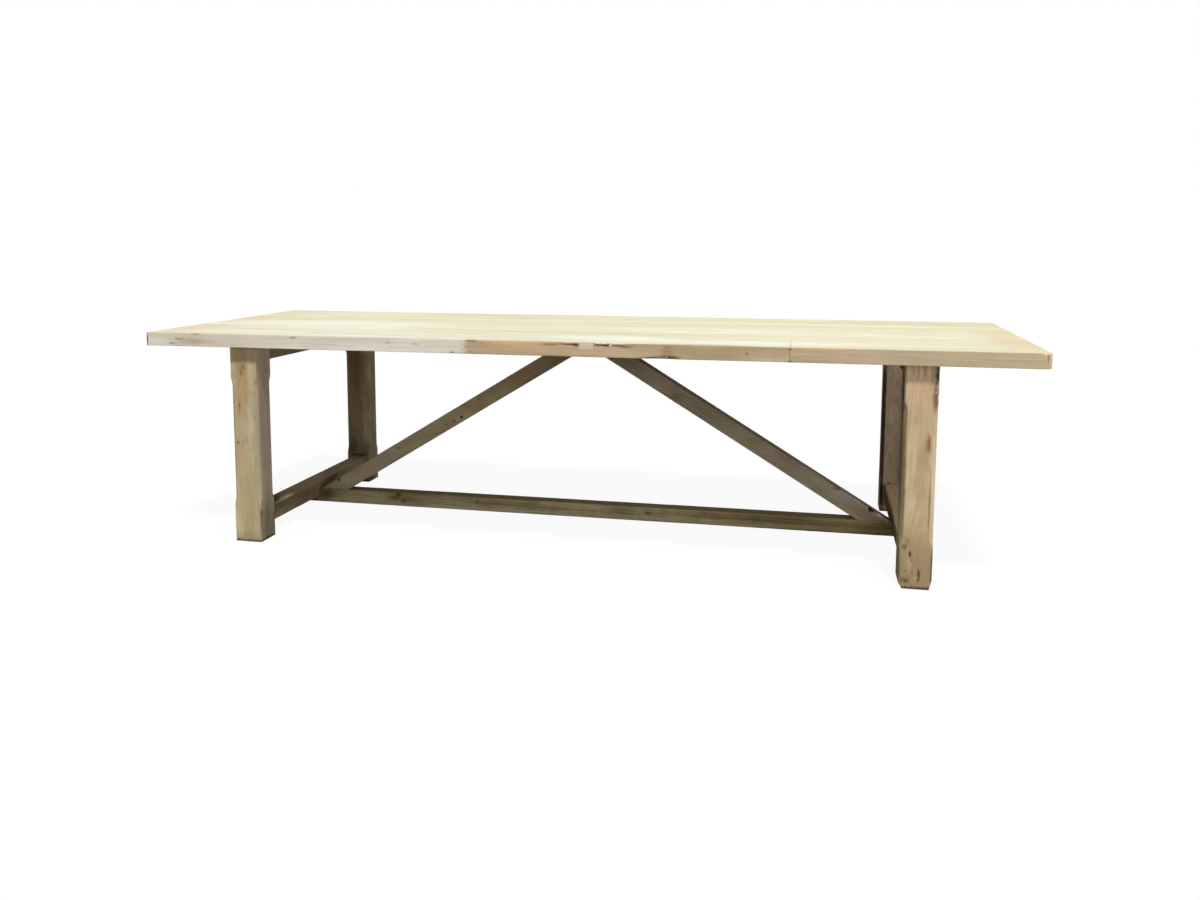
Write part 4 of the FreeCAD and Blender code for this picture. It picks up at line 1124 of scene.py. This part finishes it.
# painted shade: the braces' top faces lie under the table top and are painted dark
BRACE_TOP_SHADE = "72644A"
BRACE_MARKS = [
    # both braces: painted shade, darker towards the head under the top
    Mark("6A5440", 0.70, (-60, 0, 670), (380, 80, 220)),
    Mark("857258", 0.35, (-330, BAR_Y, 505), (130, 60, 80)),
    Mark("6E6052", 0.60, (40, 0, 680), (340, 80, 190)),
    Mark("84745C", 0.70, (420, BAR_Y, 468), (250, 60, 155)),
    # left brace: clouds of brown, olive and grey, and small knots
    Mark("8A6248", 0.55, (-250, BAR_Y, 560), (110, 40, 50)),
    Mark("96704E", 0.55, (-438, BAR_Y, 432), (60, 40, 24)),
    Mark("A08C50", 0.50, (-397, BAR_Y, 462), (50, 40, 20)),
    Mark("A8996A", 0.30, (-630, BAR_Y, 330), (90, 40, 34)),
    Mark("DACFB2", 0.50, (-975, BAR_Y, 125), (80, 40, 45)),
    Mark("A8A49A", 0.60, (-830, BAR_Y, 225), (90, 40, 44)),
    Mark("2E2418", 1.00, (-501, BAR_Y, 394), (8, 20, 7)),
    Mark("5A4428", 0.80, (-532, BAR_Y, 378), (7, 20, 6)),
    Mark("6A5030", 0.40, (-564, BAR_Y, 361), (9, 20, 6)),
    Mark("5A4028", 0.40, (-429, BAR_Y, 464), (6, 20, 5)),
    Mark("5A4630", 0.50, (-765, BAR_Y, 260), (14, 20, 6)),
    Mark("2A2018", 1.00, (-1019, BAR_Y, 121), (9, 20, 8)),
    # right brace: clouds, a scar on the arris, painted highlights along the arris by the notch, and the
    # notch painted near black as painted shade
    Mark("8A6E54", 0.70, (330, BAR_Y, 500), (34, 40, 16)),
    Mark("BE9C8C", 0.55, (698, BAR_Y, 283), (90, 40, 34)),
    Mark("A0926A", 0.50, (610, BAR_Y, 345), (70, 40, 30)),
    Mark("CFC5B2", 0.45, (820, BAR_Y, 235), (80, 40, 50)),
    Mark("C0BEB8", 0.60, (950, BAR_Y, 166), (75, 40, 32)),
    Mark("8A7C66", 0.45, (1030, BAR_Y, 104), (50, 20, 22)),
    Mark("4E3E30", 0.90, (823, BAR_Y, 256), (10, 30, 5)),
    Mark("4E3E30", 0.90, (925, BAR_Y, 190), (34, 30, 6)),
    # painted highlight: the upper arris left of the notch, where it catches the light
    *strip("FFF8EC", 0.80, (980, BAR_Y, 154), (1021, BAR_Y, 131), (9, 14, 4), 5),
    # painted shade: the inside of the notch is painted near black
    Mark("120C08", 1.00, (1042, -15.5, 136), (21, 14, 26), crisp=True),
    Mark("120C08", 1.00, (1067, -19, 113), (9, 12, 13), crisp=True),
    # the knocked-off tip: partly pale broken wood, partly painted light
    *strip("FFF8EC", 1.00, (1062, -28, 103), (1092, -28, 85), (12, 18, 7), 4),
]
# a stepped notch, given by the corners of its two steps, is chiselled in the front of the right brace
# above a screw, and the tip below it is knocked off
NOTCHES = [((1022.5, -40, 112), (1062, -3, 160)), ((1058, -40, 101), (1076, -10, 140))]
TIP_DENTS = [((1078, BAR_Y, 96), (32, 14, 16), (0, 5, -4))]
for node, way in BRACES.items():
    timber = timbers[node]
    palette = RIGHT_BRACE if way > 0 else LEFT_BRACE
    material = weathered_timber(timber, palette, marks_on(node, BRACE_MARKS), BRACE_TOP_SHADE)
    piece = grow_timber(timber, material, **BAR_MESH)
    trim(piece, [
        ((0, 0, underside), (0, 0, 1)),
        ((0, 0, stretcher_top), (0, 0, -1)),
        ((0, 0, 0), (-way, 0, 0)),
    ])
    foot = screw_pockets("brace_foot_screws", way, stretcher_top + POCKET_RUN)
    head = screw_pockets("brace_head_screws", way, underside - POCKET_RUN)
    bore(piece, foot + head, POCKET_DIAMETER)
    if way > 0:
        dent(piece, TIP_DENTS)
        for low, high in NOTCHES:
            notch(piece, Vector(low) * MM, Vector(high) * MM)
    stand_for(piece, node)

# Pegs
PEG_EASE = 1.2 * MM
PEG_PROUD = 1.0 * MM
PEG_SEED = 3
peg_material = riven_oak()
for node in ("top_rail_pegs", "lower_rail_pegs", "stretcher_pegs"):
    boxes = islands(node)
    is_upright = node == "stretcher_pegs"
    ends = []
    ways = []
    for low, high in boxes:
        middle = (low + high) / 2
        if is_upright:
            ends.append((middle.x, middle.y, low.z))
            ways.append((0, 0, -1))
        else:
            side = math.copysign(1, middle.x)
            ends.append((high.x if side > 0 else low.x, middle.y, middle.z))
            ways.append((side, 0, 0))
    spans = sorted(boxes[0][1] - boxes[0][0])
    values = {
        "Diameter": spans[0], "Length": spans[2], "Proud": PEG_PROUD, "Ease": PEG_EASE,
        "Seed": PEG_SEED, "Material": peg_material,
    }
    piece = grow(driven_pegs, f"whittled_{node}", values, ends, ways)
    stand_for(piece, node)

# Screws
SCREW_CROWN_DIAMETER = 8.5 * MM
SCREW_SHANK_DIAMETER = 5 * MM
SCREW_RECESS_WIDTH = 1.2 * MM
SCREW_RECESS_REACH = 5.5 * MM
SCREW_RECESS_DEPTH = 3.6 * MM
SCREW_SEED = 5
steel = dulled_steel()
for node in ("top_screws", "brace_foot_screws", "brace_head_screws"):
    head_is_up = node == "brace_foot_screws"
    boxes = islands(node)
    crowns = []
    for low, high in boxes:
        crowns.append(((low.x + high.x) / 2, (low.y + high.y) / 2, high.z if head_is_up else low.z))
    ways = [(0, 0, 1 if head_is_up else -1)] * len(crowns)
    values = {
        "Seat Diameter": SCREW_SEAT_DIAMETER, "Crown Diameter": SCREW_CROWN_DIAMETER,
        "Head Height": SCREW_HEAD_HEIGHT, "Shank Diameter": SCREW_SHANK_DIAMETER,
        "Length": boxes[0][1].z - boxes[0][0].z, "Recess Width": SCREW_RECESS_WIDTH,
        "Recess Reach": SCREW_RECESS_REACH, "Recess Depth": SCREW_RECESS_DEPTH,
        "Seed": SCREW_SEED, "Material": steel,
    }
    piece = grow(driven_screws, f"cross_headed_{node}", values, crowns, ways)
    stand_for(piece, node)

# Tongues between the planks and dowels in the butt joint stay as they are in the frame
for node in [f"top_tongue_{number}" for number in range(1, 6)] + ["butt_joint_dowels"]:
    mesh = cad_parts[node].data
    mesh.materials.clear()
    mesh.materials.append(peg_material)

# Studio: white surroundings, a pale floor, a soft high key from the front, and low fills from the right
# and from behind
WHITE = (1, 1, 1, 1)
AMBIENT = 0.20
KEY_STRENGTH = 0.90 * math.pi
KEY_ANGLE = math.radians(7)
KEY_FROM = Vector((0.12, -0.43, 0.88))
# each fill: where it hangs, what it aims at, and its power in watts
FILLS = {
    "right_fill": (Vector((3.6, -2.8, 1.3)), Vector((0.8, 0.2, 0.4)), 28.0),
    "rear_fill": (Vector((0.5, 3.6, 1.5)), Vector((0.0, 0.0, 0.4)), 10.0),
}
FILL_SIZE = 1.4
FLOOR_REACH = 40.0
FLOOR_DROP = 0.6 * MM
FLOOR_BOUNCE = "9C9C9C"
FLOOR_GLOW_SHARE = 0.94


def seen_or_mirrored(tree):
    """One for rays from the camera and for those that a mirror or glass sends on, nought for the rest."""
    path = add(tree, "ShaderNodeLightPath").outputs
    mirrored = add(tree, MATH, {0: path["Is Glossy Ray"], 1: path["Is Transmission Ray"]},
                   operation="MAXIMUM")
    return add(tree, MATH, {0: path["Is Camera Ray"], 1: mirrored}, operation="MAXIMUM")


world = bpy.data.worlds.new("white_surroundings")
world.use_nodes = True
world.node_tree.nodes.clear()
strength = add(world.node_tree, MIX, {0: seen_or_mirrored(world.node_tree), 2: AMBIENT, 3: 1.0})
background = add(world.node_tree, "ShaderNodeBackground", {"Color": WHITE, "Strength": strength})
add(world.node_tree, "ShaderNodeOutputWorld", {"Surface": background})
bpy.context.scene.world = world

floor_material, tree = new_material("pale_floor")
shade = add(tree, "ShaderNodeBsdfDiffuse", {"Color": WHITE})
glow = add(tree, "ShaderNodeEmission", {"Color": WHITE, "Strength": 1.0})
shown = add(tree, "ShaderNodeMixShader", {0: FLOOR_GLOW_SHARE, 1: shade, 2: glow})
bounce = add(tree, "ShaderNodeBsdfDiffuse", {"Color": linear(FLOOR_BOUNCE)})
floor_surface = add(tree, "ShaderNodeMixShader", {0: seen_or_mirrored(tree), 1: bounce, 2: shown})
add(tree, "ShaderNodeOutputMaterial", {"Surface": floor_surface})
floor_mesh = bpy.data.meshes.new("floor")
corners = [(x * FLOOR_REACH, y * FLOOR_REACH, -FLOOR_DROP) for x, y in ((-1, -1), (1, -1), (1, 1), (-1, 1))]
floor_mesh.from_pydata(corners, [], [(0, 1, 2, 3)])
floor_mesh.materials.append(floor_material)
floor = in_scene("floor", floor_mesh)

key_data = bpy.data.lights.new("key", "SUN")
key_data.energy = KEY_STRENGTH
key_data.angle = KEY_ANGLE
key = in_scene("key", key_data)
key.rotation_euler = KEY_FROM.to_track_quat("Z", "Y").to_euler()

for name, (place, aim, power) in FILLS.items():
    fill_data = bpy.data.lights.new(name, "AREA")
    fill_data.energy = power
    fill_data.size = FILL_SIZE
    fill = in_scene(name, fill_data)
    fill.location = place
    fill.rotation_euler = (place - aim).to_track_quat("Z", "Y").to_euler()
    fill.visible_camera = False

# Camera: the photograph's place, height and view
CAMERA_PLACE = (0.8064, -3.8533, 1.1002)
CAMERA_DIP = 6.461  # degrees below level
CAMERA_TURN = 13.014  # degrees to the left of straight back
CAMERA_SENSOR = 36.0
CAMERA_LENS = 31.611
CAMERA_SHIFT_X = 0.02642
CAMERA_SHIFT_Y = -0.08125
camera_data = bpy.data.cameras.new("camera")
camera = in_scene("camera", camera_data)
camera.location = CAMERA_PLACE
camera.rotation_euler = (math.radians(90 - CAMERA_DIP), 0.0, math.radians(CAMERA_TURN))
camera_data.sensor_width = CAMERA_SENSOR
camera_data.lens = CAMERA_LENS
camera_data.shift_x = CAMERA_SHIFT_X
camera_data.shift_y = CAMERA_SHIFT_Y
bpy.context.scene.camera = camera
bpy.context.scene.view_settings.view_transform = "Standard"
